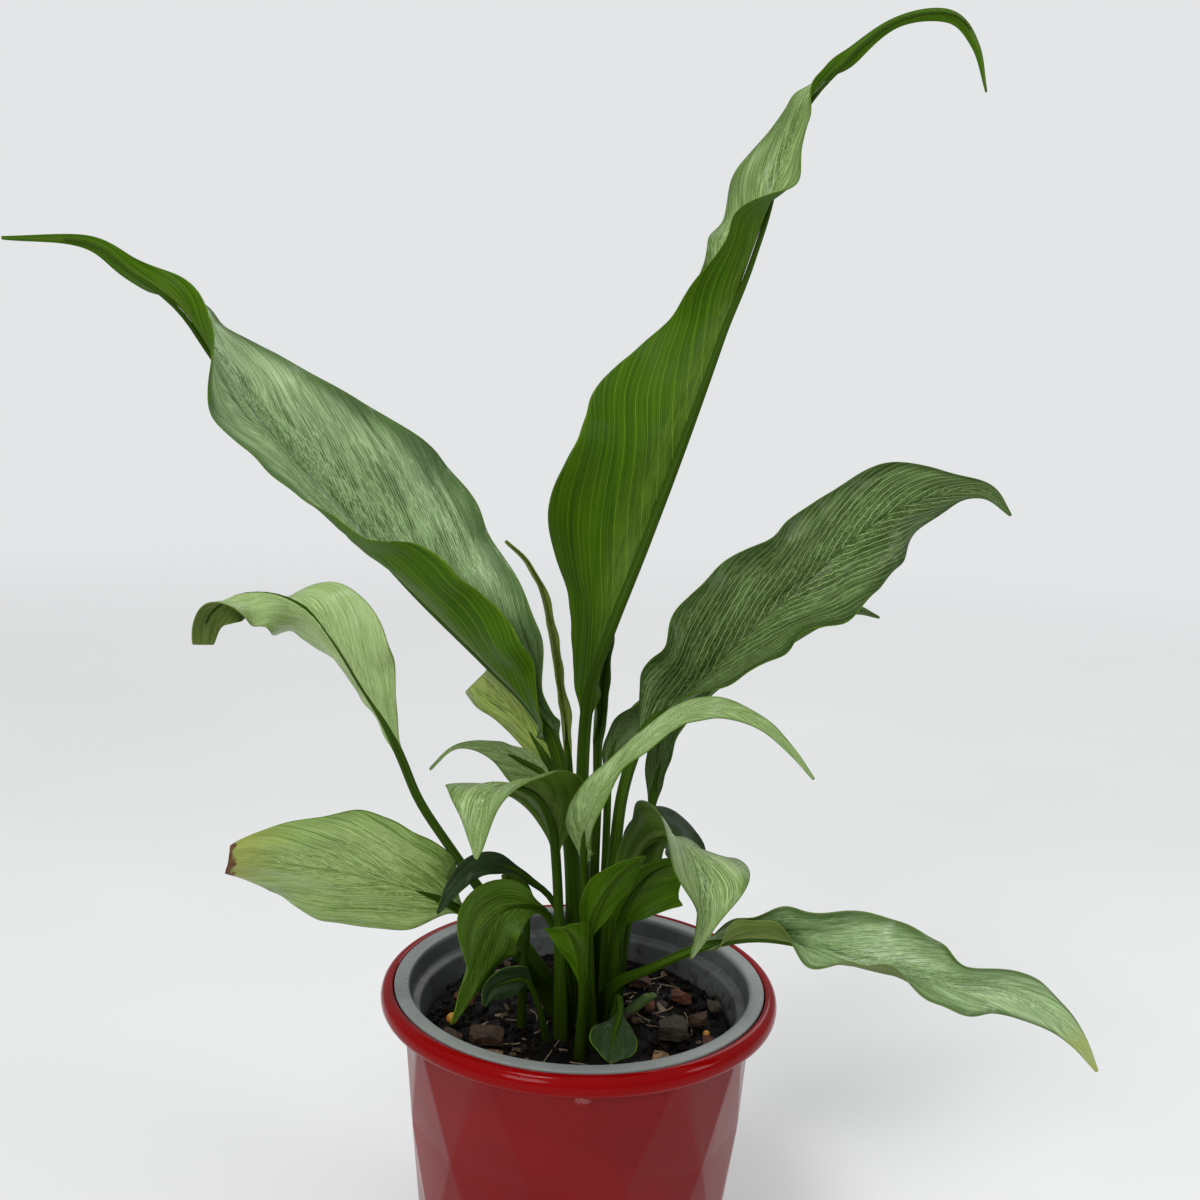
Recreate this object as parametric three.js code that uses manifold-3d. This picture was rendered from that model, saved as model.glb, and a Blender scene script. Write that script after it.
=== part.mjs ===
// Potted peace lily: a grown plant in a grey nursery pot, standing inside a glossy red faceted pot.
// Millimetres, +Z up. The origin is the centre of the red pot's flat base; the viewer stands at -Y.
import * as THREE from 'three';
import Module from 'manifold-3d';
import { mergeVertices } from 'three/addons/utils/BufferGeometryUtils.js';

// ---- driving dimensions ----
const GAP = 0.3;               // clear space kept between neighbouring pieces

const POT_HEIGHT = 130;        // red pot, base to the top of its rim
const POT_RIM_RADIUS = 75;     // widest part of the rolled rim
const POT_NECK_RADIUS = 67;    // body just under the rim
const POT_FOOT_RADIUS = 56.5;  // body at the base
const POT_WALL = 2.2;
const POT_FLOOR = 3;
const RIM_BAND = 8;            // height of the rolled rim
const FACETS = 12;             // corners in each ring of the faceted body
const FACET_RINGS = [0, 38, 80, 122];  // heights of the rings; each is half a corner round from the next
const FACET_TURN = -87.8;      // where the top ring has a corner, degrees from +X

const INNER_FLANGE_RADIUS = 69.7;
const INNER_MOUTH_RADIUS = 64.5;
const INNER_STEP_Z = 121;      // the ledge inside the mouth
const INNER_STEP_RADIUS = 61;
const INNER_FOOT_RADIUS = 48;
const INNER_WALL = 1.2;
const FLANGE_THICK = 1.6;

const SOIL_TOP = 116;          // compost level round the crown
const SOIL_EDGE_DROP = 1.6;    // how far it falls towards the wall
const SOIL_EDGE_CLEAR = 1;
const CROWN = { x: 1, y: 2, radius: 16, depth: 9 };
const BASE = SOIL_TOP + 0.4;   // where every leaf stalk starts

const LEAF_THICK = 1.1;
const MIDRIB_THICK = 2.2;

// ---- leaves ----
// path: centre line from the crown to the tip; blade: path point where the blade opens out;
// face: side the upper surface looks to at the base, carried along the path without spin;
// widths: half widths from the blade's start to its tip; left/right: for each half, evenly
// spaced [fold up from flat, further turn out to the margin] in degrees; twist: [place, degrees]
// about the midrib; wave: [height, count, start] of the ruffled margin.
const LEAVES = [
  {
    name: 'leaf_tall', stalk: 2.4, blade: 2.8, face: [0, 1, 0],
    path: [[2, 4, BASE], [0, 6, 159], [-2, 10, 202], [-1, 14, 236], [5, 18, 258], [18, 25, 294],
      [31, 32, 332], [44, 38, 373], [58, 44, 419], [65, 46, 442], [72, 48, 460], [83, 50, 473],
      [103, 53, 490], [124, 55, 494], [135, 56, 484], [140, 56, 467]],
    widths: [7, 21, 36, 42, 39, 29, 16, 20, 9, 4.5, 2.2, 3, 0.5],
    left: [[75, -5], [100, 5], [105, 5], [110, 10], [118, 18], [112, 20], [0, 0], [35, 0], [20, 0],
      [20, 0], [30, 0]],
    right: [[60, 20], [40, 10], [0, -5], [-20, -15], [22, 5], [25, 5], [45, 15], [45, 10], [20, 0],
      [35, 5], [45, 5]],
    twist: [[0, 0], [0.44, 0], [0.55, 90], [0.63, 180], [0.69, 170], [0.735, 90], [0.79, 0], [1, 0]],
    wave: [2.5, 6, 0],
  },
  {
    name: 'leaf_left_large', stalk: 2.6, blade: 2.8, face: [0, -1, 0],
    path: [[0, -5, BASE], [-3, -7, 164], [-8, -10, 204], [-15, -16, 232], [-35, -24, 255],
      [-59, -35, 281], [-80, -44, 306], [-97, -53, 327], [-108, -59, 341], [-114, -63, 351],
      [-120, -67, 362], [-128, -71, 374], [-141, -74, 383], [-153, -77, 391], [-176, -82, 391]],
    widths: [8, 17, 31, 31, 37, 36, 29, 21, 13, 6, 2, 0.5],
    left: [[80, 25], [105, 40], [115, 50], [110, 60], [88, 75], [88, 28], [92, 2], [32, 0],
      [45, 0], [15, 0], [5, 0]],
    right: [[55, 10], [40, 5], [20, 0], [-15, -10], [-20, -10], [-12, -10], [-12, -10], [-5, 0],
      [45, 0], [15, 0], [10, 0]],
    twist: [[0, 0], [0.62, 0], [0.75, 90], [0.83, 180], [1, 180]],
    wave: [2.2, 8, 0.2],
  },
  {
    name: 'leaf_right_large', stalk: 2.3, blade: 2.9, face: [0, -1, 0],
    path: [[11, 3, BASE], [11, 6, 159], [13, 10, 198], [20, 13, 223], [29, 17, 233], [41, 20, 243],
      [61, 25, 264], [78, 30, 279], [96, 36, 296], [114, 40, 309], [132, 42, 316], [149, 42, 318],
      [159, 39, 309]],
    widths: [2.9, 22, 29, 27, 25, 20, 18, 6, 0.5],
    left: [[0, -15], [30, 5], [25, 5], [15, 5], [25, 10], [5, -5], [5, -5], [20, 0], [30, 0]],
    right: [[45, 0], [75, 25], [60, 20], [50, 20], [30, 10], [5, 0], [-30, -20], [-35, -25], [15, -5]],
    wave: [1.8, 7, 0.1],
  },
  {
    name: 'leaf_left_drooping', stalk: 1.8, blade: 5, face: [0, -1, 0],
    path: [[-5, 4, BASE], [-22, 8, 139], [-40, 13, 159], [-53, 17, 175], [-65, 21, 191], [-73, 25, 207],
      [-80, 27, 220], [-90, 28, 235], [-99, 27, 250], [-109, 25, 263], [-120, 22, 270], [-131, 19, 271],
      [-139, 16, 268], [-145, 14, 261], [-146, 13, 251]],
    widths: [1, 6, 14, 20, 20, 17, 14, 14, 9, 4.5],
    left: [[-5, -10], [-40, -30], [-50, -35], [-45, -30], [-30, -20], [-20, -10], [-40, -10], [-10, 0],
      [5, -5]],
    right: [[15, 0], [10, -5], [10, 0], [10, 0], [-15, -10], [-60, -20], [-60, -20], [-30, -20], [-5, -10]],
    twist: [[0, 0], [0.5, 0], [0.75, 90], [0.9, 150], [1, 160]],
    wave: [1, 5, 0.1],
  },
  {
    name: 'leaf_left_broad', stalk: 1.8, blade: 2.8, face: [0, -1, 0],
    path: [[-7, -3, BASE], [-19, -10, 138], [-33, -17, 155], [-45, -23, 166], [-58, -29, 174],
      [-77, -39, 183], [-96, -50, 190], [-109, -58, 194], [-117, -62, 195]],
    widths: [3.7, 19, 26, 27, 17, 6],
    left: [[25, 5], [0, -5], [-5, -10], [-15, -15], [-5, -10]],
    right: [[-30, -20], [5, -5], [5, -5], [-5, -10], [-15, -15]],
    wave: [0.6, 4, 0.1],
  },
  {
    name: 'leaf_left_small_arch', stalk: 1.2, blade: 2.3, face: [0.8, -0.6, 0],
    path: [[-1, -9, BASE], [-5, -11, 150], [-11, -15, 167], [-19, -19, 176], [-28, -23, 183],
      [-38, -27, 184], [-45, -31, 178], [-51, -34, 168]],
    widths: [2.3, 1.8, 4.3, 3.5, 0.5],
    left: [[-10, -10], [10, 0], [10, 0], [15, 5]],
    right: [[-10, -10], [-5, -10], [0, -5], [10, 0]],
    wave: [0.5, 4, 0.1],
  },
  {
    name: 'leaf_front_drooping', stalk: 1.5, blade: 2, face: [0.5, -0.9, 0],
    path: [[-3, -13, BASE], [-7, -15, 146], [-13, -20, 164], [-22, -26, 169], [-29, -32, 168],
      [-34, -38, 160], [-39, -42, 147], [-44, -45, 132]],
    widths: [0.5, 11, 20, 10, 0.5],
    left: [[60, 25], [10, 0], [0, -5], [5, 0]],
    right: [[65, 35], [-10, 0], [25, 10], [25, 5]],
    wave: [0.8, 4, 0.3],
  },
  {
    name: 'leaf_left_young_tip', stalk: 1.3, blade: 2.4, face: [0, 1, 0],
    path: [[-21, -13, BASE], [-21, -15, 139], [-20, -16, 154], [-21, -17, 166], [-24, -17, 172],
      [-29, -18, 178]],
    widths: [2, 4.3, 5, 4.1, 1.2],
    left: [[40, 20], [45, 20], [20, 5]],
    right: [[-15, -10], [-5, -5], [5, 0]],
    wave: [0.2, 3, 0],
  },
  {
    name: 'leaf_left_thin', stalk: 1.3, blade: 2.8, face: [0.5, -0.8, 0],
    path: [[-1, 0, BASE], [-4, 0, 162], [-9, -2, 193], [-15, -4, 210], [-24, -8, 217], [-33, -12, 222],
      [-42, -16, 225], [-49, -19, 224], [-56, -22, 217]],
    widths: [6, 9, 3.7, 1, 0.6],
    left: [[-10, -10], [-5, -10], [10, 0], [15, 5]],
    right: [[-55, -35], [-35, -25], [0, -5], [20, 5]],
    wave: [0.5, 4, 0],
  },
  {
    name: 'leaf_left_behind', stalk: 1.7, blade: 2.9, face: [0, -1, 0],
    path: [[2, 9, BASE], [-2, 11, 157], [-8, 13, 188], [-14, 15, 207], [-22, 17, 220], [-31, 19, 231],
      [-37, 20, 237], [-42, 21, 242]],
    widths: [2.1, 4.9, 7, 11, 20],
    left: [[15, 0], [-5, -5], [-40, -25]],
    right: [[-5, -5], [25, 5], [60, 25]],
    wave: [0.4, 3, 0],
  },
  {
    name: 'leaf_front_cup', stalk: 1.8, blade: 2.1, face: [0.5, 0.8, 0],
    path: [[-6, -20, BASE], [-8, -22, 159], [-10, -24, 186], [-12, -27, 202], [-17, -37, 215],
      [-26, -49, 222], [-32, -60, 221], [-34, -65, 212], [-35, -66, 201]],
    widths: [1.8, 13, 17, 20, 21, 8, 0.5],
    left: [[60, 10], [60, 10], [30, 0], [25, 0], [20, 5], [30, 10], [10, 0]],
    right: [[40, 0], [15, -5], [-5, -15], [-10, -10], [-5, -10], [10, 0], [0, -5]],
    wave: [0.5, 3, 0],
  },
  {
    name: 'leaf_right_arching', stalk: 1.6, blade: 1.8, face: [-0.5, -0.8, 0],
    path: [[5, -20, BASE], [2, -26, 165], [0, -36, 193], [1, -48, 210], [7, -51, 225], [18, -47, 237],
      [30, -43, 246], [43, -46, 250], [57, -48, 246], [67, -51, 238], [75, -54, 229]],
    widths: [4.7, 8, 4.1, 4.5, 2.4, 0.5],
    left: [[5, 0], [5, 0], [-20, -15], [-5, -10], [10, 0]],
    right: [[0, -5], [45, 20], [25, 10], [10, 0], [5, -5]],
    wave: [0.5, 5, 0],
  },
  {
    name: 'leaf_right_hidden', stalk: 1.6, blade: 2.5, face: [0, -1, 0],
    path: [[14, 11, BASE], [17, 19, 142], [24, 29, 176], [27, 35, 197], [33, 39, 216], [49, 46, 234],
      [75, 54, 251], [96, 61, 263], [106, 63, 265], [117, 66, 262]],
    widths: [3.3, 9, 12, 8, 0.5],
    left: [[10, 0], [10, 0], [5, 0], [-5, -5]],
    right: [[45, 20], [75, 30], [65, 30], [45, 15]],
    wave: [0.3, 4, 0],
  },
  {
    name: 'leaf_right_behind', stalk: 1.5, blade: 2.6, face: [0, -1, 0],
    path: [[8, 9, BASE], [8, 13, 156], [8, 18, 187], [8, 22, 208], [11, 27, 220], [18, 31, 230],
      [25, 35, 235]],
    widths: [1.7, 3.6, 8, 7, 0.5],
    left: [[0, -5], [55, 20], [85, 40]],
    right: [[0, -5], [5, 0], [10, 0]],
    wave: [0.5, 3, 0],
  },
  {
    name: 'leaf_right_folded', stalk: 1.6, blade: 1.7, face: [-0.4, 0.9, 0],
    path: [[11, -4, BASE], [12, -5, 144], [16, -8, 168], [21, -15, 188], [28, -30, 199], [36, -40, 197],
      [40, -46, 186], [40, -48, 173], [38, -49, 162]],
    widths: [3.4, 10, 10, 17, 27, 9, 0.5],
    left: [[40, 0], [5, -10], [10, -5], [-15, -15], [-5, -5], [40, 15], [25, 10]],
    right: [[45, 5], [65, 15], [60, 10], [45, 10], [25, 5], [35, 10], [15, 0]],
    wave: [0.5, 3, 0],
  },
  {
    name: 'leaf_right_rounded', stalk: 1.5, blade: 1.8, face: [-0.6, -0.8, 0],
    path: [[13, 7, BASE], [15, 11, 146], [18, 15, 170], [23, 15, 183], [31, 20, 185], [39, 28, 177],
      [44, 37, 163], [47, 44, 149]],
    widths: [8, 9, 11, 10, 0.5],
    left: [[0, -5], [15, 0], [65, 30]],
    right: [[30, 25], [-45, -15], [-35, -25]],
    wave: [0.5, 3, 0],
  },
  {
    name: 'leaf_right_low', stalk: 1.6, blade: 1.8, face: [0, 1, 0],
    path: [[11, -11, BASE], [12, -15, 143], [14, -17, 160], [18, -20, 173], [26, -21, 183],
      [36, -22, 187]],
    widths: [0.8, 8, 14, 17, 3.2],
    left: [[-40, -20], [-10, -5], [5, -5]],
    right: [[-25, -25], [-35, -30], [-40, -25]],
    wave: [0.4, 3, 0],
  },
  {
    name: 'leaf_centre_low', stalk: 1.5, blade: 1.6, face: [-0.2, 1, 0],
    path: [[6, -26, BASE], [3, -31, 150], [3, -36, 165], [7, -41, 180], [13, -44, 190], [21, -45, 197]],
    widths: [1.7, 5, 8, 9, 0.8],
    left: [[-10, -10], [5, 0], [25, 10]],
    right: [[40, 15], [0, -5], [-20, -15]],
    wave: [0.3, 3, 0],
  },
  {
    name: 'leaf_front_cone', stalk: 1.3, blade: 0.8, face: [0, 1, 0],
    path: [[1, -33, BASE], [1, -38, 149], [-1, -42, 161], [-4, -46, 169], [-7, -51, 173]],
    widths: [1.6, 3.8, 6, 7, 7],
    left: [[35, 10], [45, 15], [-10, -15]],
    right: [[5, -5], [0, -10], [5, -5]],
    wave: [0, 3, 0],
  },
  {
    name: 'leaf_right_long', stalk: 1.7, blade: 3, face: [-0.3, -0.7, 0.7],
    path: [[6, -13, BASE], [12, -19, 136], [25, -28, 148], [42, -35, 160], [59, -39, 166],
      [76, -45, 167], [92, -51, 164], [108, -57, 163], [123, -62, 163], [138, -68, 165], [152, -74, 161],
      [161, -79, 154], [167, -84, 145]],
    widths: [0.5, 11, 16, 17, 18, 17, 13, 9, 7, 3.8, 0.5],
    left: [[45, 5], [50, 8], [45, 8], [30, 5], [0, -10], [5, -5], [25, 5], [45, 15], [-5, -10],
      [-25, -20], [-5, -10]],
    right: [[100, 5], [112, 8], [112, 8], [70, 10], [90, 15], [85, 20], [45, 15], [5, 0], [5, 0],
      [5, -5], [10, 0]],
    wave: [1.2, 8, 0],
  },
  {
    name: 'leaf_seedling', stalk: 1.1, blade: 2, face: [0.1, 1, 0],
    path: [[12, -26, BASE], [14, -32, 139], [15, -40, 137], [13, -50, 134], [12, -58, 131],
      [12, -61, 129]],
    widths: [1.6, 5, 8, 8, 1.2],
    left: [[10, 0], [20, 5], [0, -5]],
    right: [[-35, -25], [-10, -10], [-5, -5]],
    wave: [0.2, 2, 0],
  },
  {
    name: 'leaf_spear_left', stalk: 1.5, blade: 2.5, face: [0, -1, 0],
    path: [[0, 13, BASE], [-2, 15, 155], [-6, 16, 195], [-9, 17, 221], [-14, 17, 250], [-19, 17, 273],
      [-25, 15, 286], [-34, 14, 295]],
    widths: [0.9, 4.1, 4.5, 3.8, 2.4, 0.9],
    left: [[65, 35], [65, 35], [65, 35], [65, 35]],
    right: [[40, 25], [40, 25], [40, 25], [40, 25]],
    wave: [0, 2, 0],
  },
  {
    name: 'leaf_spear_right', stalk: 1.8, blade: 2.5, face: [0, -1, 0],
    path: [[5, 14, BASE], [4, 18, 154], [4, 27, 192], [3, 37, 222], [4, 47, 246], [7, 56, 267],
      [12, 64, 288]],
    widths: [0.9, 6, 6, 5, 3.1, 0.9],
    left: [[65, 35], [65, 35], [65, 35], [65, 35]],
    right: [[40, 25], [40, 25], [40, 25], [40, 25]],
    wave: [0, 2, 0],
  },
  {
    name: 'leaf_low_dark', stalk: 1.1, blade: 0.9, face: [0.5, -0.8, 0.2],
    path: [[-10, -22, BASE], [-18, -27, 140], [-25, -32, 143], [-31, -37, 142], [-33, -40, 137]],
    widths: [0.9, 4.6, 6, 6, 4, 0.9],
    left: [[10, 0], [10, 0], [10, 0], [10, 0]],
    right: [[10, 0], [10, 0], [10, 0], [10, 0]],
    wave: [0, 2, 0],
  },
];

// Bark chips on the compost: [x, y, length, width, height, turn].
const CHIPS = [
  [36, -14, 12, 10, 8, 20],
  [46, -4, 10, 6, 4, 70],
  [50, -22, 8, 6, 5, 10],
  [30, -34, 9, 5, 3, 120],
  [40, 14, 10, 6, 4, 40],
  [27, 6, 8, 5, 3, 100],
  [24, 26, 10, 6, 4, 150],
  [52, 8, 7, 5, 4, 80],
  [-33, -25, 13, 9, 5, 10],
  [-32, -38, 12, 6, 3, 170],
  [-46, -24, 9, 6, 4, 60],
  [-8, -46, 9, 5, 3, 30],
  [4, -49, 8, 5, 3, 100],
  [-44, 6, 9, 6, 4, 130],
  [-26, 30, 10, 6, 4, 15],
  [4, 42, 9, 6, 4, 75],
  [42, -36, 7, 5, 3, 25],
];

// Slow-release feed granules: [x, y, radius].
const GRANULES = [
  [-47, -12, 2.3],
  [-29, -48, 1.7],
  [48, -14, 1.4],
];

// ---- small helpers ----
const rad = THREE.MathUtils.degToRad;
const smooth = (t) => t * t * (3 - 2 * t);
const clamp = THREE.MathUtils.clamp;

// Value of an evenly keyed list at t in 0..1, smooth through the keys.
function keyed(list, t) {
  const n = list.length - 1;
  const at = clamp(t, 0, 1) * n;
  const i = Math.min(Math.floor(at), n - 1);
  const w = at - i;
  const p1 = list[i];
  const p2 = list[i + 1];
  const p0 = i > 0 ? list[i - 1] : 2 * p1 - p2;
  const p3 = i + 2 <= n ? list[i + 2] : 2 * p2 - p1;
  const m1 = (p2 - p0) / 2;
  const m2 = (p3 - p1) / 2;
  return p1 + m1 * w + (3 * (p2 - p1) - 2 * m1 - m2) * w * w + (2 * (p1 - p2) + m1 + m2) * w * w * w;
}

// Value of a list of [place, value] pairs at t, eased between the pairs.
function stepped(pairs, t) {
  let i = 0;
  while (i < pairs.length - 2 && t > pairs[i + 1][0]) i += 1;
  const [a, from] = pairs[i];
  const [b, to] = pairs[i + 1];
  return from + (to - from) * smooth(clamp((t - a) / (b - a), 0, 1));
}

// A closed body from rings of equal point count, with its two ends capped.
function loft(rings) {
  const count = rings[0].length;
  const points = [];
  const index = [];
  rings.forEach((ring) => ring.forEach((p) => points.push(p.x, p.y, p.z)));
  const half = count / 2;
  for (let r = 0; r < rings.length - 1; r += 1) {
    for (let k = 0; k < count; k += 1) {             // both faces split the same way, so walls stay apart
      const a = r * count + k;
      const b = r * count + ((k + 1) % count);
      if (k < half) index.push(a, b, b + count, a, b + count, a + count);
      else index.push(a, b, a + count, b, b + count, a + count);
    }
  }
  const last = (rings.length - 1) * count;
  for (let k = 0; k < half - 1; k += 1) {        // the ring is two rows of points; cap row to row
    const far = count - 1 - k;
    index.push(k + 1, k, far, k + 1, far, far - 1);
    index.push(last + k, last + k + 1, last + far, last + k + 1, last + far - 1, last + far);
  }
  const geometry = new THREE.BufferGeometry();
  geometry.setAttribute('position', new THREE.Float32BufferAttribute(points, 3));
  geometry.setIndex(index);
  geometry.computeVertexNormals();
  return geometry;
}

// ---- one leaf with its stalk ----
function spineOf(leaf) {
  const steps = 400;
  const points = leaf.path.map((p) => new THREE.Vector3(...p));
  const curve = new THREE.CatmullRomCurve3(points, false, 'catmullrom', 0.5);
  const frames = [];
  let length = 0;
  let face = new THREE.Vector3(...leaf.face);
  for (let i = 0; i <= steps; i += 1) {
    const u = i / steps;
    const point = curve.getPoint(u);
    const ahead = curve.getPoint(Math.min(u + 1e-3, 1));
    const along = ahead.sub(curve.getPoint(Math.max(u - 1e-3, 0))).normalize();
    if (i > 0) length += point.distanceTo(frames[i - 1].point);
    face = face.clone().addScaledVector(along, -face.dot(along)).normalize();
    frames.push({ point, along, face, length, key: u * (points.length - 1) });
  }
  return frames;
}

function frameAt(frames, length) {
  let i = 1;
  while (i < frames.length - 1 && frames[i].length < length) i += 1;
  const a = frames[i - 1];
  const b = frames[i];
  const w = clamp((length - a.length) / (b.length - a.length), 0, 1);
  const along = a.along.clone().lerp(b.along, w).normalize();
  const face = a.face.clone().lerp(b.face, w);
  face.addScaledVector(along, -face.dot(along)).normalize();
  return { point: a.point.clone().lerp(b.point, w), along, face };
}

// One cross ring of a leaf: the top row from left margin to right margin, then the bottom row back.
function leafRing(leaf, frame, s, across, grown) {
  const width = Math.max(keyed(leaf.widths, s), 0.5);
  const half = THREE.MathUtils.lerp(leaf.stalk, width, grown);
  const face = frame.face.clone();
  if (leaf.twist) face.applyAxisAngle(frame.along, rad(stepped(leaf.twist, s)));
  const right = frame.along.clone().cross(face);
  const [waveHigh, waveCount, waveStart] = leaf.wave;
  const most = Math.max(...leaf.widths);
  const onSide = (side, angle, flat, up) => right.clone().multiplyScalar(flat(rad(angle)) * side)
    .addScaledVector(face, up(rad(angle)));
  const normalAt = (side, angle) => onSide(side, angle, (v) => -Math.sin(v), Math.cos);
  const outwards = (side, angle) => onSide(side, angle, Math.cos, Math.sin);
  const bends = [leaf.left, leaf.right].map((keys) => ({
    lift: grown * keyed(keys.map((k) => k[0]), s),
    turn: grown * keyed(keys.map((k) => k[1]), s),
  }));
  const ridge = normalAt(-1, bends[0].lift).add(normalAt(1, bends[1].lift)).normalize();
  const top = [];
  const bottom = [];
  for (let side = -1; side <= 1; side += 2) {
    const { lift, turn } = side < 0 ? bends[0] : bends[1];
    const point = frame.point.clone();
    for (let k = side < 0 ? 1 : 0; k <= across; k += 1) {
      const r = k / across;
      const angle = lift + turn * Math.max(r - 0.5 / across, 0);
      const normal = k === 0 ? ridge : normalAt(side, angle);
      if (k > 0) point.addScaledVector(outwards(side, angle), half / across);
      const ruffle = Math.sin(2 * Math.PI * (waveCount * s + waveStart + (side < 0 ? 0 : 0.37)));
      const lifted = waveHigh * grown * r ** 2.5 * ruffle * clamp(width / (0.6 * most), 0, 1);
      const centre = point.clone().addScaledVector(normal, lifted);
      const round = 2 * leaf.stalk * Math.sqrt(Math.max(1 - r * r, 0.04));
      const thin = Math.min(LEAF_THICK, width);
      const rib = MIDRIB_THICK * Math.max(1 - 1.2 * s, 0.3);
      const flat = k === 0 ? Math.min(rib, thin + 0.1 * width) : thin;
      const thick = THREE.MathUtils.lerp(round, flat, grown);
      const up = centre.clone().addScaledVector(normal, thick / 2);
      const down = centre.clone().addScaledVector(normal, -thick / 2);
      if (side < 0) {
        top.unshift(up);
        bottom.unshift(down);
      } else {
        top.push(up);
        bottom.push(down);
      }
    }
  }
  return top.concat(bottom.reverse());
}

function leafBody(leaf) {
  const frames = spineOf(leaf);
  const total = frames[frames.length - 1].length;
  const start = frames.find((f) => f.key >= leaf.blade).length;
  const big = total > 190;
  const across = big ? 3 : 2;
  const stalkRings = Math.max(3, Math.round(start / 22));
  const bladeRings = Math.max(8, Math.round((total - start) / 11));
  const open = Math.min(14 / (total - start), 0.25);      // blade opens out over the first 14 mm
  const rings = [];
  for (let i = 0; i < stalkRings; i += 1) {
    rings.push(leafRing(leaf, frameAt(frames, (start * i) / stalkRings), 0, across, 0));
  }
  for (let i = 0; i <= bladeRings; i += 1) {
    const s = i / bladeRings;
    const frame = frameAt(frames, start + (total - start) * s);
    rings.push(leafRing(leaf, frame, s, across, smooth(clamp(s / open, 0, 1))));
  }
  rings[0].forEach((p) => { p.z = Math.max(p.z, BASE); });
  return loft(rings);
}

// ---- pots, compost, crown ----
const reachOf = (points, i) => Math.hypot(points[3 * i], points[3 * i + 1]);

// A closed body turned round the Z axis; the profile is a line of [radius, z] that starts and
// ends on the axis. radiusAt(radius, z, angle) gives the radius at one angle. Each four-sided
// patch is split along its outer diagonal, so that the edge of a facet stays sharp.
function turned(profile, segments, radiusAt = (r) => r) {
  const points = [];
  const index = [];
  const inner = profile.slice(1, -1);
  const rows = inner.length;
  points.push(0, 0, profile[0][1]);
  for (let k = 0; k < segments; k += 1) {
    const angle = (2 * Math.PI * k) / segments;
    inner.forEach(([r, z]) => {
      const reach = radiusAt(r, z, angle);
      points.push(reach * Math.cos(angle), reach * Math.sin(angle), z);
    });
  }
  const end = points.length / 3;
  points.push(0, 0, profile[profile.length - 1][1]);
  for (let k = 0; k < segments; k += 1) {
    const a = 1 + k * rows;
    const b = 1 + ((k + 1) % segments) * rows;
    index.push(0, b, a);
    for (let r = 0; r < rows - 1; r += 1) {
      const rising = reachOf(points, a + r) + reachOf(points, b + r + 1);
      const falling = reachOf(points, b + r) + reachOf(points, a + r + 1);
      if (rising >= falling) index.push(a + r, b + r, b + r + 1, a + r, b + r + 1, a + r + 1);
      else index.push(a + r, b + r, a + r + 1, b + r, b + r + 1, a + r + 1);
    }
    index.push(a + rows - 1, b + rows - 1, end);
  }
  const geometry = new THREE.BufferGeometry();
  geometry.setAttribute('position', new THREE.Float32BufferAttribute(points, 3));
  geometry.setIndex(index);
  geometry.computeVertexNormals();
  return geometry;
}

// Radius of the faceted body at a height and an angle: flat triangles between rings of corners.
function facetedRadius(z, angle) {
  const cornerRadius = (height) => POT_FOOT_RADIUS
    + (POT_NECK_RADIUS - POT_FOOT_RADIUS) * (height / (POT_HEIGHT - RIM_BAND));
  const half = Math.PI / FACETS;
  let i = 0;
  while (i < FACET_RINGS.length - 2 && z > FACET_RINGS[i + 1]) i += 1;
  const [low, high] = [FACET_RINGS[i], FACET_RINGS[i + 1]];
  const t = (z - low) / (high - low);
  const lowTurn = ((FACET_RINGS.length - 1 - i) % 2) * half;     // where the lower ring has a corner
  const off = Math.abs(((angle - lowTurn) % (2 * half) + 3 * half) % (2 * half) - half);
  const x = (1 - t) * cornerRadius(low) + t * cornerRadius(high) * Math.cos(half);
  const y = t * cornerRadius(high) * Math.sin(half);
  if (Math.atan2(y, x) >= off) return x / Math.cos(off);
  return (x * Math.cos(half) + y * Math.sin(half)) / Math.cos(half - off);
}

// Red pot: rolled rim, body of tall triangular facets, flat floor. Profile runs from the middle
// of the underside, out and up the outside, over the rim, and down the inside to the floor.
function outerPot() {
  const neckZ = POT_HEIGHT - RIM_BAND;
  const bulge = RIM_BAND / 2;
  const body = [0, 19, 38, 59, 80, 101, neckZ - 1].map((z) => [POT_NECK_RADIUS, z]);
  const profile = [
    [0, 0],
    ...body,
    [POT_NECK_RADIUS + 3, neckZ],
    [POT_RIM_RADIUS - 1, neckZ + 1],
    [POT_RIM_RADIUS, neckZ + bulge],
    [POT_RIM_RADIUS - 1, POT_HEIGHT - 2],
    [POT_RIM_RADIUS - 3, POT_HEIGHT],
    [POT_RIM_RADIUS - 4.2, POT_HEIGHT - 1],
    [POT_RIM_RADIUS - 4.6, POT_HEIGHT - 4.5],
    [POT_RIM_RADIUS - 8, POT_HEIGHT - 8],
    [POT_NECK_RADIUS - 2 * POT_WALL, neckZ - 4],
    [POT_FOOT_RADIUS - 2 * POT_WALL, POT_FLOOR],
    [0, POT_FLOOR],
  ];
  const isBody = (r, z) => body.some(([br, bz]) => br === r && bz === z);
  const pot = turned(profile, FACETS * 4, (r, z, angle) => (isBody(r, z) ? facetedRadius(z, angle) : r));
  return pot.rotateZ(rad(FACET_TURN));
}

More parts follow.
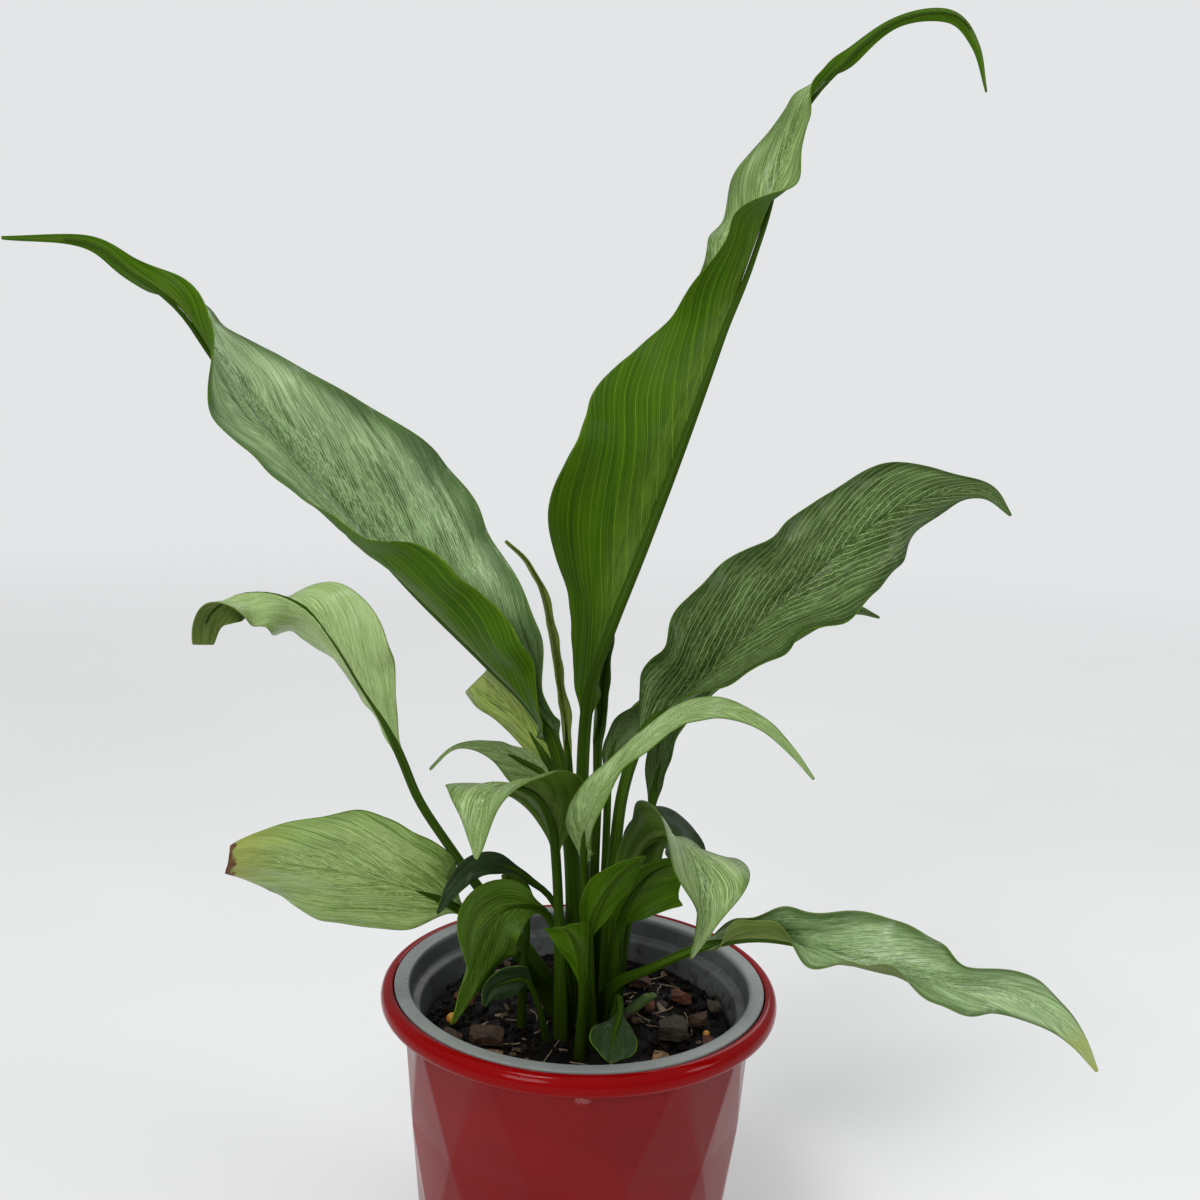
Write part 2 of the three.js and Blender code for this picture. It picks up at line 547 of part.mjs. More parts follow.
// Grey nursery pot: thin wall, flat flange at the mouth, a step just inside, flat floor.
function innerPot() {
  const floorZ = POT_FLOOR + GAP;
  const top = POT_HEIGHT;
  const profile = [
    [0, floorZ],
    [INNER_FOOT_RADIUS, floorZ],
    [INNER_STEP_RADIUS, INNER_STEP_Z - 3],
    [INNER_MOUTH_RADIUS, INNER_STEP_Z],
    [INNER_MOUTH_RADIUS + 1, top - FLANGE_THICK],
    [INNER_FLANGE_RADIUS, top - FLANGE_THICK],
    [INNER_FLANGE_RADIUS, top - 0.4],
    [INNER_FLANGE_RADIUS - 0.5, top],
    [INNER_MOUTH_RADIUS, top],
    [INNER_MOUTH_RADIUS - INNER_WALL, INNER_STEP_Z + 1],
    [INNER_STEP_RADIUS - INNER_WALL, INNER_STEP_Z - 1],
    [INNER_FOOT_RADIUS - INNER_WALL, floorZ + INNER_WALL],
    [0, floorZ + INNER_WALL],
  ];
  return turned(profile, 48);
}

function innerRadiusAt(z) {
  const low = POT_FLOOR + GAP + INNER_WALL;
  const high = INNER_STEP_Z - 1;
  const t = (z - low) / (high - low);
  return THREE.MathUtils.lerp(INNER_FOOT_RADIUS, INNER_STEP_RADIUS, t) - INNER_WALL;
}

function soilHeight(distance) {
  return SOIL_TOP - SOIL_EDGE_DROP * smooth(clamp((distance - 30) / 28, 0, 1));
}

function toManifold(wasm, geometry) {
  const clean = mergeVertices(geometry.clone().deleteAttribute('normal'));
  return new wasm.Manifold(new wasm.Mesh({
    numProp: 3,
    vertProperties: new Float32Array(clean.attributes.position.array),
    triVerts: new Uint32Array(clean.index.array),
  }));
}

function fromManifold(solid) {
  const mesh = solid.getMesh();
  const geometry = new THREE.BufferGeometry();
  geometry.setAttribute('position', new THREE.BufferAttribute(new Float32Array(mesh.vertProperties), 3));
  geometry.setIndex(Array.from(mesh.triVerts));
  geometry.computeVertexNormals();
  return geometry;
}

// Root crown: the short rhizome the stalks grow from, sunk into the compost.
function crownBody(grow = 0) {
  const r = CROWN.radius + grow;
  const low = SOIL_TOP - CROWN.depth - grow;
  const high = SOIL_TOP + grow * 8;
  const profile = [
    [0, low],
    [r * 0.6, low],
    [r * 0.95, low + 3],
    [r, SOIL_TOP - 2],
    [r * 0.94, high],
    [0, high],
  ];
  return turned(profile, 16).translate(CROWN.x, CROWN.y, 0);
}

// Compost filling the nursery pot, with a pocket for the crown.
function soilBody(wasm) {
  const low = POT_FLOOR + GAP + INNER_WALL + GAP;
  const wall = (z) => innerRadiusAt(z) - SOIL_EDGE_CLEAR;
  const edge = wall(SOIL_TOP - SOIL_EDGE_DROP);
  const profile = [
    [0, low],
    [wall(low), low],
    [edge, soilHeight(edge)],
    [50, soilHeight(50)],
    [40, soilHeight(40)],
    [30, SOIL_TOP],
    [0, SOIL_TOP],
  ];
  const bed = toManifold(wasm, turned(profile, 32));
  return fromManifold(bed.subtract(toManifold(wasm, crownBody(GAP))));
}

// ---- chips and granules ----
function chipBody([x, y, long, wide, high, turn], seed) {
  const lump = new THREE.IcosahedronGeometry(1, 0).deleteAttribute('normal').deleteAttribute('uv');
  const geometry = mergeVertices(lump);
  const spot = geometry.attributes.position;
  for (let i = 0; i < spot.count; i += 1) {
    const rough = 1 + 0.16 * Math.sin(seed * 12.9 + i * 7.3);
    const blunt = (v) => Math.sign(v) * Math.abs(v) ** 0.7 * rough;
    spot.setXYZ(i, blunt(spot.getX(i)) * long / 2, blunt(spot.getY(i)) * wide / 2, spot.getZ(i) * high / 2);
  }
  geometry.rotateZ(rad(turn));
  geometry.computeBoundingBox();
  const rest = soilHeight(Math.max(Math.hypot(x, y) - long / 2, 0)) + GAP;
  geometry.translate(x, y, rest - geometry.boundingBox.min.z);
  geometry.computeVertexNormals();
  return geometry;
}

function granuleBody([x, y, radius]) {
  const ball = new THREE.SphereGeometry(radius, 10, 8).deleteAttribute('uv').deleteAttribute('normal');
  const geometry = mergeVertices(ball.rotateX(Math.PI / 2), 1e-4);
  geometry.translate(x, y, soilHeight(Math.max(Math.hypot(x, y) - radius, 0)) + GAP + radius);
  geometry.computeVertexNormals();
  return geometry;
}

// ---- finish ----
function finish(color, roughness, metalness = 0) {
  return new THREE.MeshStandardMaterial({ color, roughness, metalness });
}

function addPiece(group, name, geometry, material) {
  const mesh = new THREE.Mesh(geometry, material);
  mesh.name = name;
  group.add(mesh);
}

async function makePart() {
  const wasm = await Module();
  wasm.setup();
  const group = new THREE.Group();
  group.name = 'potted_peace_lily';
  addPiece(group, 'outer_pot', outerPot(), finish('#b3161c', 0.25));
  addPiece(group, 'inner_pot', innerPot(), finish('#5d6264', 0.6));
  addPiece(group, 'soil', soilBody(wasm), finish('#2a1b13', 0.95));
  addPiece(group, 'crown', crownBody(), finish('#3c4a22', 0.8));
  LEAVES.forEach((leaf) => addPiece(group, leaf.name, leafBody(leaf), finish('#4c7a3a', 0.45)));
  CHIPS.forEach((chip, i) => {
    const name = `bark_chip_${String(i + 1).padStart(2, '0')}`;
    addPiece(group, name, chipBody(chip, i), finish('#5b3d29', 0.9));
  });
  GRANULES.forEach((granule, i) => {
    addPiece(group, `feed_granule_${i + 1}`, granuleBody(granule), finish('#c98a1c', 0.5));
  });
  return group;
}

export default await makePart();
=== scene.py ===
import math
import random

import bpy
from mathutils import Matrix, Vector, noise


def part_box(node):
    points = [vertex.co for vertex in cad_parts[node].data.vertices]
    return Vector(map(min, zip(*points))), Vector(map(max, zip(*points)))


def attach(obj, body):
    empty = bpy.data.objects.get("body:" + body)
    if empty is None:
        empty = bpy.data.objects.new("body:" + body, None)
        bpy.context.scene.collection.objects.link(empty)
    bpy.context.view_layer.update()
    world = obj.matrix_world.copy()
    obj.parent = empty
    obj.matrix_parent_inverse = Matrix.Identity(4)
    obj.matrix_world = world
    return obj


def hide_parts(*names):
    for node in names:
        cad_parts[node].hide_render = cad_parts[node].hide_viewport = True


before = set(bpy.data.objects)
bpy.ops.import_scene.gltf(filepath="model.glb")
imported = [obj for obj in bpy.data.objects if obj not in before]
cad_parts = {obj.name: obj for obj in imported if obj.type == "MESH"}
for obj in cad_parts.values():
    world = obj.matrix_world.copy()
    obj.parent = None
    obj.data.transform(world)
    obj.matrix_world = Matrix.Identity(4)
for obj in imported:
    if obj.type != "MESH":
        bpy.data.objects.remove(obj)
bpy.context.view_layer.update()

mm = 0.001
base = 116.4    # where the stalks leave the crown, mm


def deselectAll():
    if bpy.context.mode != "OBJECT":
        bpy.ops.object.mode_set(mode="OBJECT")
    bpy.ops.object.select_all(action="DESELECT")
    bpy.context.view_layer.objects.active = None


def pick(*pieces):    # only these are selected, the first one active
    deselectAll()
    for piece in pieces:
        piece.select_set(True)
    bpy.context.view_layer.objects.active = pieces[0]


deselectAll()


def editAll():    # edit mode with the whole mesh selected
    bpy.ops.object.mode_set(mode="EDIT")
    bpy.ops.mesh.select_all(action="SELECT")


def closeUp():    # faces all look outward, and back to object mode
    bpy.ops.mesh.select_all(action="SELECT")
    bpy.ops.mesh.normals_make_consistent(inside=False)
    bpy.ops.object.mode_set(mode="OBJECT")


# small sums used by several pieces

def clamp(t, low=0.0, high=1.0):
    return max(low, min(high, t))


def smooth(t):
    t = clamp(t)
    return t * t * (3 - 2 * t)


def mixed(a, b, t):
    return a + (b - a) * t


def keyed(values, t):    # value of evenly spaced keys at t, smooth through the keys
    n = len(values) - 1
    at = clamp(t) * n
    i = min(int(at), n - 1)
    w = at - i
    p1, p2 = values[i], values[i + 1]
    p0 = values[i - 1] if i > 0 else 2 * p1 - p2
    p3 = values[i + 2] if i + 2 <= n else 2 * p2 - p1
    m1, m2 = (p2 - p0) / 2, (p3 - p1) / 2
    return p1 + m1 * w + (3 * (p2 - p1) - 2 * m1 - m2) * w ** 2 + (2 * (p1 - p2) + m1 + m2) * w ** 3


def stepped(pairs, t):    # value of [place, value] pairs at t, eased between them
    i = 0
    while i < len(pairs) - 2 and t > pairs[i + 1][0]:
        i += 1
    (a, start), (b, end) = pairs[i], pairs[i + 1]
    return mixed(start, end, smooth((t - a) / (b - a)))


def rough(x, y, z, seed=0.0):    # noise between about -1 and 1
    return noise.noise(Vector((x + seed * 17.3, y - seed * 9.1, z + seed * 5.7)))


# camera, light and floor

camera = dict(place=(1.9, -499.1, 366.7), tilt=10.23, roll=2.32, lens=42, sensor=36)


def setCamera():
    bpy.ops.object.camera_add(location=Vector(camera["place"]) * mm)
    eye = bpy.context.object
    eye.name = "camera"
    tilt = Matrix.Rotation(math.radians(90 - camera["tilt"]), 3, "X")
    roll = Matrix.Rotation(math.radians(camera["roll"]), 3, "Z")
    eye.rotation_euler = (tilt @ roll).to_euler()
    eye.data.lens = camera["lens"]
    eye.data.sensor_width = camera["sensor"]
    eye.data.clip_start = 0.01
    bpy.context.scene.camera = eye


def addLamp(name, place, aim, size, watts, colour):
    bpy.ops.object.light_add(type="AREA", location=place)
    lamp = bpy.context.object
    lamp.name = name
    lamp.data.shape = "DISK"
    lamp.data.size = size
    lamp.data.energy = watts
    lamp.data.color = colour
    lamp.rotation_euler = (Vector(aim) - Vector(place)).to_track_quat("-Z", "Y").to_euler()


def setLight():
    addLamp("topSoftbox", (-0.45, -0.6, 1.6), (0, 0, 0.2), 0.45, 8, (1.0, 1.0, 0.99))
    addLamp("frontSoftbox", (-0.8, -1.6, 0.9), (0, 0, 0.25), 0.8, 13, (1.0, 1.0, 0.99))
    addLamp("rightFill", (1.6, -0.5, 0.8), (0, 0, 0.2), 0.6, 6, (0.98, 0.99, 1.0))
    addLamp("backGlow", (0.5, 1.4, 1.3), (0, 0, 0.3), 0.9, 5, (1.0, 1.0, 0.98))
    setWorld()


def setWorld():    # a pale room: lighter overhead than low down; what is seen behind stays even
    world = bpy.data.worlds.new("paleRoom")
    bpy.context.scene.world = world
    world.use_nodes = True
    tree = world.node_tree
    up = splitOf(tree, coordinates(tree, "Generated"))["Z"]
    lit = rampOf(tree, eased(tree, up, -1.0, 1.0), [(0.0, (0.16, 0.16, 0.16)), (0.5, (0.34, 0.345, 0.35)),
                                                    (1.0, (0.66, 0.67, 0.68))])
    seen = made(tree, "LightPath", "Is Camera Ray")
    shade = blended(tree, seen, lit, (0.775, 0.785, 0.795))
    tree.links.new(shade, tree.nodes["Background"].inputs["Color"])


def floorFinish():    # pale, and fading out evenly far from the pot
    finish, tree, place = newFinish("paleFloor")
    cloud = noiseOf(tree, place, 3.0, 3)
    shade = rampOf(tree, cloud, [(0.3, (0.77, 0.775, 0.775)), (0.7, (0.81, 0.815, 0.815))])
    shader = setShader(tree, shade, roughness=0.6, specular=0.2)
    reach = made(tree, "VectorMath", "Value", {0: place}, operation="LENGTH")
    feed(tree, shader.inputs["Alpha"], eased(tree, reach, 0.35, 2.2, 1.0, 0.0))
    return finish


def addFloor():
    bpy.ops.mesh.primitive_plane_add(size=4.6, location=(0, 0, 0), rotation=(0, 0, math.pi / 4))
    floor = bpy.context.object
    floor.name = "floor"
    floor.data.materials.append(floorFinish())


# node helpers: each returns an output socket

def newFinish(name):    # the finish, its nodes and where a point is on the object
    finish = bpy.data.materials.new(name)
    finish.use_nodes = True
    tree = finish.node_tree
    return finish, tree, coordinates(tree, "Object")


def feed(tree, socket, value):    # a socket is linked, a number or colour is set
    if isinstance(value, bpy.types.NodeSocket):
        tree.links.new(value, socket)
    elif isinstance(value, (tuple, list)) and len(value) == 3 and len(socket.default_value) == 4:
        socket.default_value = (*value, 1)
    else:
        socket.default_value = value


def setShader(tree, colour, roughness, bump=None, specular=0.5):
    shader = tree.nodes["Principled BSDF"]
    feed(tree, shader.inputs["Base Color"], colour)
    feed(tree, shader.inputs["Roughness"], roughness)
    shader.inputs["Specular IOR Level"].default_value = specular
    if bump is not None:
        tree.links.new(bump, shader.inputs["Normal"])
    return shader


def made(tree, kind, output, inputs=(), **settings):    # a node with its inputs fed; gives one output
    node = tree.nodes.new("ShaderNode" + kind)
    for key, value in settings.items():
        setattr(node, key, value)
    for key, value in dict(inputs).items():
        feed(tree, node.inputs[key], value)
    return node.outputs[output]


def coordinates(tree, kind):
    return made(tree, "TexCoord", kind)


def scaled(tree, vector, scale, shift=(0, 0, 0)):
    return made(tree, "Mapping", "Vector", dict(Vector=vector, Scale=scale, Location=shift))


def noiseOf(tree, vector, scale, detail=2.0, distortion=0.0, roughness=0.5):
    return made(tree, "TexNoise", "Fac", dict(Vector=vector, Scale=scale, Detail=detail,
                                              Distortion=distortion, Roughness=roughness))


def cellsOf(tree, vector, scale, feature="F1", output="Distance"):
    return made(tree, "TexVoronoi", output, dict(Vector=vector, Scale=scale), feature=feature)


def sumOf(tree, operation, a, b=0.0):
    return made(tree, "Math", 0, {0: a, 1: b}, operation=operation)


def times(tree, a, b):
    return sumOf(tree, "MULTIPLY", a, b)


def plus(tree, a, b):
    return sumOf(tree, "ADD", a, b)


def eased(tree, value, low, high, start=0.0, end=1.0):    # smooth step from low to high
    ends = {"From Min": low, "From Max": high, "To Min": start, "To Max": end}
    return made(tree, "MapRange", "Result", dict(ends, Value=value), interpolation_type="SMOOTHSTEP")


def blended(tree, amount, a, b, kind="MIX"):
    return made(tree, "Mix", 2, {0: amount, 6: a, 7: b}, data_type="RGBA", blend_type=kind)


def rampOf(tree, value, stops):
    node = tree.nodes.new("ShaderNodeValToRGB")
    tree.links.new(value, node.inputs["Fac"])
    ramp = node.color_ramp
    while len(ramp.elements) < len(stops):
        ramp.elements.new(0.5)
    for element, (place, colour) in zip(ramp.elements, stops):
        element.position = place
        element.color = (*colour, 1)
    return node.outputs["Color"]


def bumpOf(tree, height, strength, distance):
    return made(tree, "Bump", "Normal", dict(Height=height, Strength=strength, Distance=distance))


def attributeOf(tree, name):
    return made(tree, "Attribute", "Vector", attribute_name=name)


def splitOf(tree, vector):    # all three outputs
    node = tree.nodes.new("ShaderNodeSeparateXYZ")
    feed(tree, node.inputs[0], vector)
    return node.outputs


def joinOf(tree, x, y, z):
    return made(tree, "CombineXYZ", 0, dict(X=x, Y=y, Z=z))


# leaves: path in mm from the crown to the tip, the blade starting at its point number "blade"; half
# widths in mm, and the [lift, turn] in degrees of the left and right halves, evenly spaced from the
# start of the blade to the tip; "twist" turns the blade about its midrib at places along it

leaves = [
    dict(name="leaf_tall", slot="leaf_green", look="netted", sheath=0.9, stalk=2.4, blade=2.8,
         face=[0, 1, 0],
         path=[[2, 4, base], [0, 6, 159], [-2, 10, 202], [-1, 14, 236], [5, 18, 258], [18, 25, 294],
         [31, 32, 332], [44, 38, 373], [58, 44, 419], [65, 46, 442], [72, 48, 460], [83, 50, 473],
         [103, 53, 490], [124, 55, 494], [135, 56, 484], [140, 56, 467]],
         widths=[7, 21, 36, 42, 39, 29, 16, 20, 9, 4.5, 2.2, 3, 0.5], wave=[2.5, 6, 0], twist=[[0, 0],
         [0.44, 0], [0.55, 90], [0.63, 180], [0.69, 170], [0.735, 90], [0.79, 0], [1, 0]],
         left=[[75, -5], [100, 5], [105, 5], [110, 10], [118, 18], [112, 20], [0, 0], [35, 0], [20, 0],
         [20, 0], [30, 0]],
         right=[[60, 20], [40, 10], [0, -5], [-20, -15], [22, 5], [25, 5], [45, 15], [45, 10], [20, 0],
         [35, 5], [45, 5]]),
    dict(name="leaf_left_large", slot="leaf_silvery", look="silver", sheath=0.9, stalk=2.6, blade=2.8,
         path=[[0, -5, base], [-3, -7, 164], [-8, -10, 204], [-15, -16, 232], [-35, -24, 255],
         [-59, -35, 281], [-80, -44, 306], [-97, -53, 327], [-108, -59, 341], [-114, -63, 351],
         [-120, -67, 362], [-128, -71, 374], [-141, -74, 383], [-153, -77, 391], [-176, -82, 391]],
         widths=[8, 17, 31, 31, 37, 36, 29, 21, 13, 6, 2, 0.5], wave=[2.2, 8, 0.2], twist=[[0, 0],
         [0.62, 0], [0.75, 90], [0.83, 180], [1, 180]],
         left=[[80, 25], [105, 40], [115, 50], [110, 60], [88, 75], [88, 28], [92, 2], [32, 0], [45, 0],
         [15, 0], [5, 0]],
         right=[[55, 10], [40, 5], [20, 0], [-15, -10], [-20, -10], [-12, -10], [-12, -10], [-5, 0],
         [45, 0], [15, 0], [10, 0]]),
    dict(name="leaf_right_large", slot="leaf_green", look="veined", sheath=0.9, stalk=2.3, blade=2.9,
         path=[[11, 3, base], [11, 6, 159], [13, 10, 198], [20, 13, 223], [29, 17, 233], [41, 20, 243],
         [61, 25, 264], [78, 30, 279], [96, 36, 296], [114, 40, 309], [132, 42, 316], [149, 42, 318],
         [159, 39, 309]],
         widths=[2.9, 22, 29, 27, 25, 20, 18, 6, 0.5], wave=[1.8, 7, 0.1],
         left=[[0, -15], [30, 5], [25, 5], [15, 5], [25, 10], [5, -5], [5, -5], [20, 0], [30, 0]],
         right=[[45, 0], [75, 25], [60, 20], [50, 20], [30, 10], [5, 0], [-30, -20], [-35, -25],
         [15, -5]]),
    dict(name="leaf_left_drooping", slot="leaf_pale", look="soft", under="dusky", sheath=0.6, stalk=1.8,
         blade=5,
         path=[[-5, 4, base], [-22, 8, 139], [-40, 13, 159], [-53, 17, 175], [-65, 21, 191],
         [-73, 25, 207], [-80, 27, 220], [-90, 28, 235], [-99, 27, 250], [-109, 25, 263], [-120, 22, 270],
         [-131, 19, 271], [-139, 16, 268], [-145, 14, 261], [-146, 13, 251]],
         widths=[1, 6, 14, 20, 20, 17, 14, 14, 9, 4.5], wave=[1, 5, 0.1], twist=[[0, 0], [0.5, 0],
         [0.75, 90], [0.9, 150], [1, 160]],
         left=[[-5, -10], [-40, -30], [-50, -35], [-45, -30], [-30, -20], [-20, -10], [-40, -10],
         [-10, 0], [5, -5]],
         right=[[15, 0], [10, -5], [10, 0], [10, 0], [-15, -10], [-60, -20], [-60, -20], [-30, -20],
         [-5, -10]]),
    dict(name="leaf_left_broad", slot="leaf_green", look="speckled", tip="scorched", sheath=0.6,
         stalk=1.8, blade=2.8,
         path=[[-7, -3, base], [-19, -10, 138], [-33, -17, 155], [-45, -23, 166], [-58, -29, 174],
         [-77, -39, 183], [-96, -50, 190], [-109, -58, 194], [-117, -62, 195]],
         widths=[3.7, 19, 26, 27, 17, 6], wave=[0.6, 4, 0.1],
         left=[[25, 5], [0, -5], [-5, -10], [-15, -15], [-5, -10]],
         right=[[-30, -20], [5, -5], [5, -5], [-5, -10], [-15, -15]]),
    dict(name="leaf_left_small_arch", slot="leaf_dark", look="bluish", under="olive", sheath=0.4,
         stalk=1.2, blade=2.3, face=[0.8, -0.6, 0],
         path=[[-1, -9, base], [-5, -11, 150], [-11, -15, 167], [-19, -19, 176], [-28, -23, 183],
         [-38, -27, 184], [-45, -31, 178], [-51, -34, 168]],
         widths=[2.3, 1.8, 4.3, 3.5, 0.5], wave=[0.5, 4, 0.1],
         left=[[-10, -10], [10, 0], [10, 0], [15, 5]], right=[[-10, -10], [-5, -10], [0, -5], [10, 0]]),
    dict(name="leaf_front_drooping", slot="leaf_pale", look="fresh", sheath=0.7, stalk=1.5, blade=2,
         face=[0.5, -0.9, 0],
         path=[[-3, -13, base], [-7, -15, 146], [-13, -20, 164], [-22, -26, 169], [-29, -32, 168],
         [-34, -38, 160], [-39, -42, 147], [-44, -45, 132]],
         widths=[0.5, 11, 20, 10, 0.5], wave=[0.8, 4, 0.3],
         left=[[60, 25], [10, 0], [0, -5], [5, 0]], right=[[65, 35], [-10, 0], [25, 10], [25, 5]]),
    dict(name="leaf_left_young_tip", slot="leaf_green", look="lime", under="olive", sheath=0.5, stalk=1.3,
         blade=2.4, face=[0, 1, 0],
         path=[[-21, -13, base], [-21, -15, 139], [-20, -16, 154], [-21, -17, 166], [-24, -17, 172],
         [-29, -18, 178]],
         widths=[2, 4.3, 5, 4.1, 1.2], wave=[0.2, 3, 0],
         left=[[40, 20], [45, 20], [20, 5]], right=[[-15, -10], [-5, -5], [5, 0]]),
    dict(name="leaf_left_thin", slot="leaf_green", look="netted", under="dusky", sheath=0.7, stalk=1.3,
         blade=2.8, face=[0.5, -0.8, 0],
         path=[[-1, 0, base], [-4, 0, 162], [-9, -2, 193], [-15, -4, 210], [-24, -8, 217],
         [-33, -12, 222], [-42, -16, 225], [-49, -19, 224], [-56, -22, 217]],
         widths=[6, 9, 3.7, 1, 0.6], wave=[0.5, 4, 0],
         left=[[-10, -10], [-5, -10], [10, 0], [15, 5]], right=[[-55, -35], [-35, -25], [0, -5], [20, 5]]),
    dict(name="leaf_left_behind", slot="leaf_green", look="lime", under="olive", sheath=0.8, stalk=1.7,
         blade=2.9,
         path=[[2, 9, base], [-2, 11, 157], [-8, 13, 188], [-14, 15, 207], [-22, 17, 220], [-31, 19, 231],
         [-37, 20, 237], [-42, 21, 242]],
         widths=[2.1, 4.9, 7, 11, 20], wave=[0.4, 3, 0],
         left=[[15, 0], [-5, -5], [-40, -25]], right=[[-5, -5], [25, 5], [60, 25]]),
    dict(name="leaf_front_cup", slot="leaf_green", look="netted", under="olive", sheath=0.8, stalk=1.8,
         blade=2.1, face=[0.5, 0.8, 0],
         path=[[-6, -20, base], [-8, -22, 159], [-10, -24, 186], [-12, -27, 202], [-17, -37, 215],
         [-26, -49, 222], [-32, -60, 221], [-34, -65, 212], [-35, -66, 201]],
         widths=[1.8, 13, 17, 20, 21, 8, 0.5], wave=[0.5, 3, 0],
         left=[[60, 10], [60, 10], [30, 0], [25, 0], [20, 5], [30, 10], [10, 0]],
         right=[[40, 0], [15, -5], [-5, -15], [-10, -10], [-5, -10], [10, 0], [0, -5]]),
    dict(name="leaf_right_arching", slot="leaf_green", look="netted", sheath=0.8, stalk=1.6, blade=1.8,
         face=[-0.5, -0.8, 0],
         path=[[5, -20, base], [2, -26, 165], [0, -36, 193], [1, -48, 210], [7, -51, 225], [18, -47, 237],
         [30, -43, 246], [43, -46, 250], [57, -48, 246], [67, -51, 238], [75, -54, 229]],
         widths=[4.7, 8, 4.1, 4.5, 2.4, 0.5], wave=[0.5, 5, 0],
         left=[[5, 0], [5, 0], [-20, -15], [-5, -10], [10, 0]],
         right=[[0, -5], [45, 20], [25, 10], [10, 0], [5, -5]]),
    dict(name="leaf_right_hidden", slot="leaf_green", look="veined", sheath=0.8, stalk=1.6, blade=2.5,
         path=[[14, 11, base], [17, 19, 142], [24, 29, 176], [27, 35, 197], [33, 39, 216], [49, 46, 234],
         [75, 54, 251], [96, 61, 263], [106, 63, 265], [117, 66, 262]],
         widths=[3.3, 9, 12, 8, 0.5], wave=[0.3, 4, 0],
         left=[[10, 0], [10, 0], [5, 0], [-5, -5]], right=[[45, 20], [75, 30], [65, 30], [45, 15]]),
    dict(name="leaf_right_behind", slot="leaf_dark", look="veined", sheath=0.8, stalk=1.5, blade=2.6,
         path=[[8, 9, base], [8, 13, 156], [8, 18, 187], [8, 22, 208], [11, 27, 220], [18, 31, 230],
         [25, 35, 235]],
         widths=[1.7, 3.6, 8, 7, 0.5], wave=[0.5, 3, 0],
         left=[[0, -5], [55, 20], [85, 40]], right=[[0, -5], [5, 0], [10, 0]]),
    dict(name="leaf_right_folded", slot="leaf_green", look="netted", under="olive", sheath=0.8, stalk=1.6,
         blade=1.7, face=[-0.4, 0.9, 0],
         path=[[11, -4, base], [12, -5, 144], [16, -8, 168], [21, -15, 188], [28, -30, 199],
         [36, -40, 197], [40, -46, 186], [40, -48, 173], [38, -49, 162]],
         widths=[3.4, 10, 10, 17, 27, 9, 0.5], wave=[0.5, 3, 0],
         left=[[40, 0], [5, -10], [10, -5], [-15, -15], [-5, -5], [40, 15], [25, 10]],
         right=[[45, 5], [65, 15], [60, 10], [45, 10], [25, 5], [35, 10], [15, 0]]),
    dict(name="leaf_right_rounded", slot="leaf_dark", look="bluish", under="olive", sheath=0.8, stalk=1.5,
         blade=1.8, face=[-0.6, -0.8, 0],
         path=[[13, 7, base], [15, 11, 146], [18, 15, 170], [23, 15, 183], [31, 20, 185], [39, 28, 177],
         [44, 37, 163], [47, 44, 149]],
         widths=[8, 9, 11, 10, 0.5], wave=[0.5, 3, 0],
         left=[[0, -5], [15, 0], [65, 30]], right=[[30, 25], [-45, -15], [-35, -25]]),
    dict(name="leaf_right_low", slot="leaf_pale", look="fresh", sheath=0.7, stalk=1.6, blade=1.8,
         face=[0, 1, 0],
         path=[[11, -11, base], [12, -15, 143], [14, -17, 160], [18, -20, 173], [26, -21, 183],
         [36, -22, 187]],
         widths=[0.8, 8, 14, 17, 3.2], wave=[0.4, 3, 0],
         left=[[-40, -20], [-10, -5], [5, -5]], right=[[-25, -25], [-35, -30], [-40, -25]]),
    dict(name="leaf_centre_low", slot="leaf_dark", look="veined", sheath=0.7, stalk=1.5, blade=1.6,
         face=[-0.2, 1, 0],
         path=[[6, -26, base], [3, -31, 150], [3, -36, 165], [7, -41, 180], [13, -44, 190],
         [21, -45, 197]],
         widths=[1.7, 5, 8, 9, 0.8], wave=[0.3, 3, 0],
         left=[[-10, -10], [5, 0], [25, 10]], right=[[40, 15], [0, -5], [-20, -15]]),
    dict(name="leaf_front_cone", slot="leaf_pale", look="fresh", sheath=0.7, stalk=1.3, blade=0.8,
         face=[0, 1, 0],
         path=[[1, -33, base], [1, -38, 149], [-1, -42, 161], [-4, -46, 169], [-7, -51, 173]],
         widths=[1.6, 3.8, 6, 7, 7], wave=[0, 3, 0],
         left=[[35, 10], [45, 15], [-10, -15]], right=[[5, -5], [0, -10], [5, -5]]),
    dict(name="leaf_right_long", slot="leaf_silvery", look="silver", under="dusky", tip="yellow",
         sheath=0.8, stalk=1.7, blade=3, face=[-0.3, -0.7, 0.7],
         path=[[6, -13, base], [12, -19, 136], [25, -28, 148], [42, -35, 160], [59, -39, 166],
         [76, -45, 167], [92, -51, 164], [108, -57, 163], [123, -62, 163], [138, -68, 165],
         [152, -74, 161], [161, -79, 154], [167, -84, 145]],
         widths=[0.5, 11, 16, 17, 18, 17, 13, 9, 7, 3.8, 0.5], wave=[1.2, 8, 0],
         left=[[45, 5], [50, 8], [45, 8], [30, 5], [0, -10], [5, -5], [25, 5], [45, 15], [-5, -10],
         [-25, -20], [-5, -10]],
         right=[[100, 5], [112, 8], [112, 8], [70, 10], [90, 15], [85, 20], [45, 15], [5, 0], [5, 0],
         [5, -5], [10, 0]]),
    dict(name="leaf_seedling", slot="leaf_dark", look="bluish", sheath=0.4, stalk=1.1, blade=2,
         face=[0.1, 1, 0],
         path=[[12, -26, base], [14, -32, 139], [15, -40, 137], [13, -50, 134], [12, -58, 131],
         [12, -61, 129]],
         widths=[1.6, 5, 8, 8, 1.2], wave=[0.2, 2, 0],
         left=[[10, 0], [20, 5], [0, -5]], right=[[-35, -25], [-10, -10], [-5, -5]]),
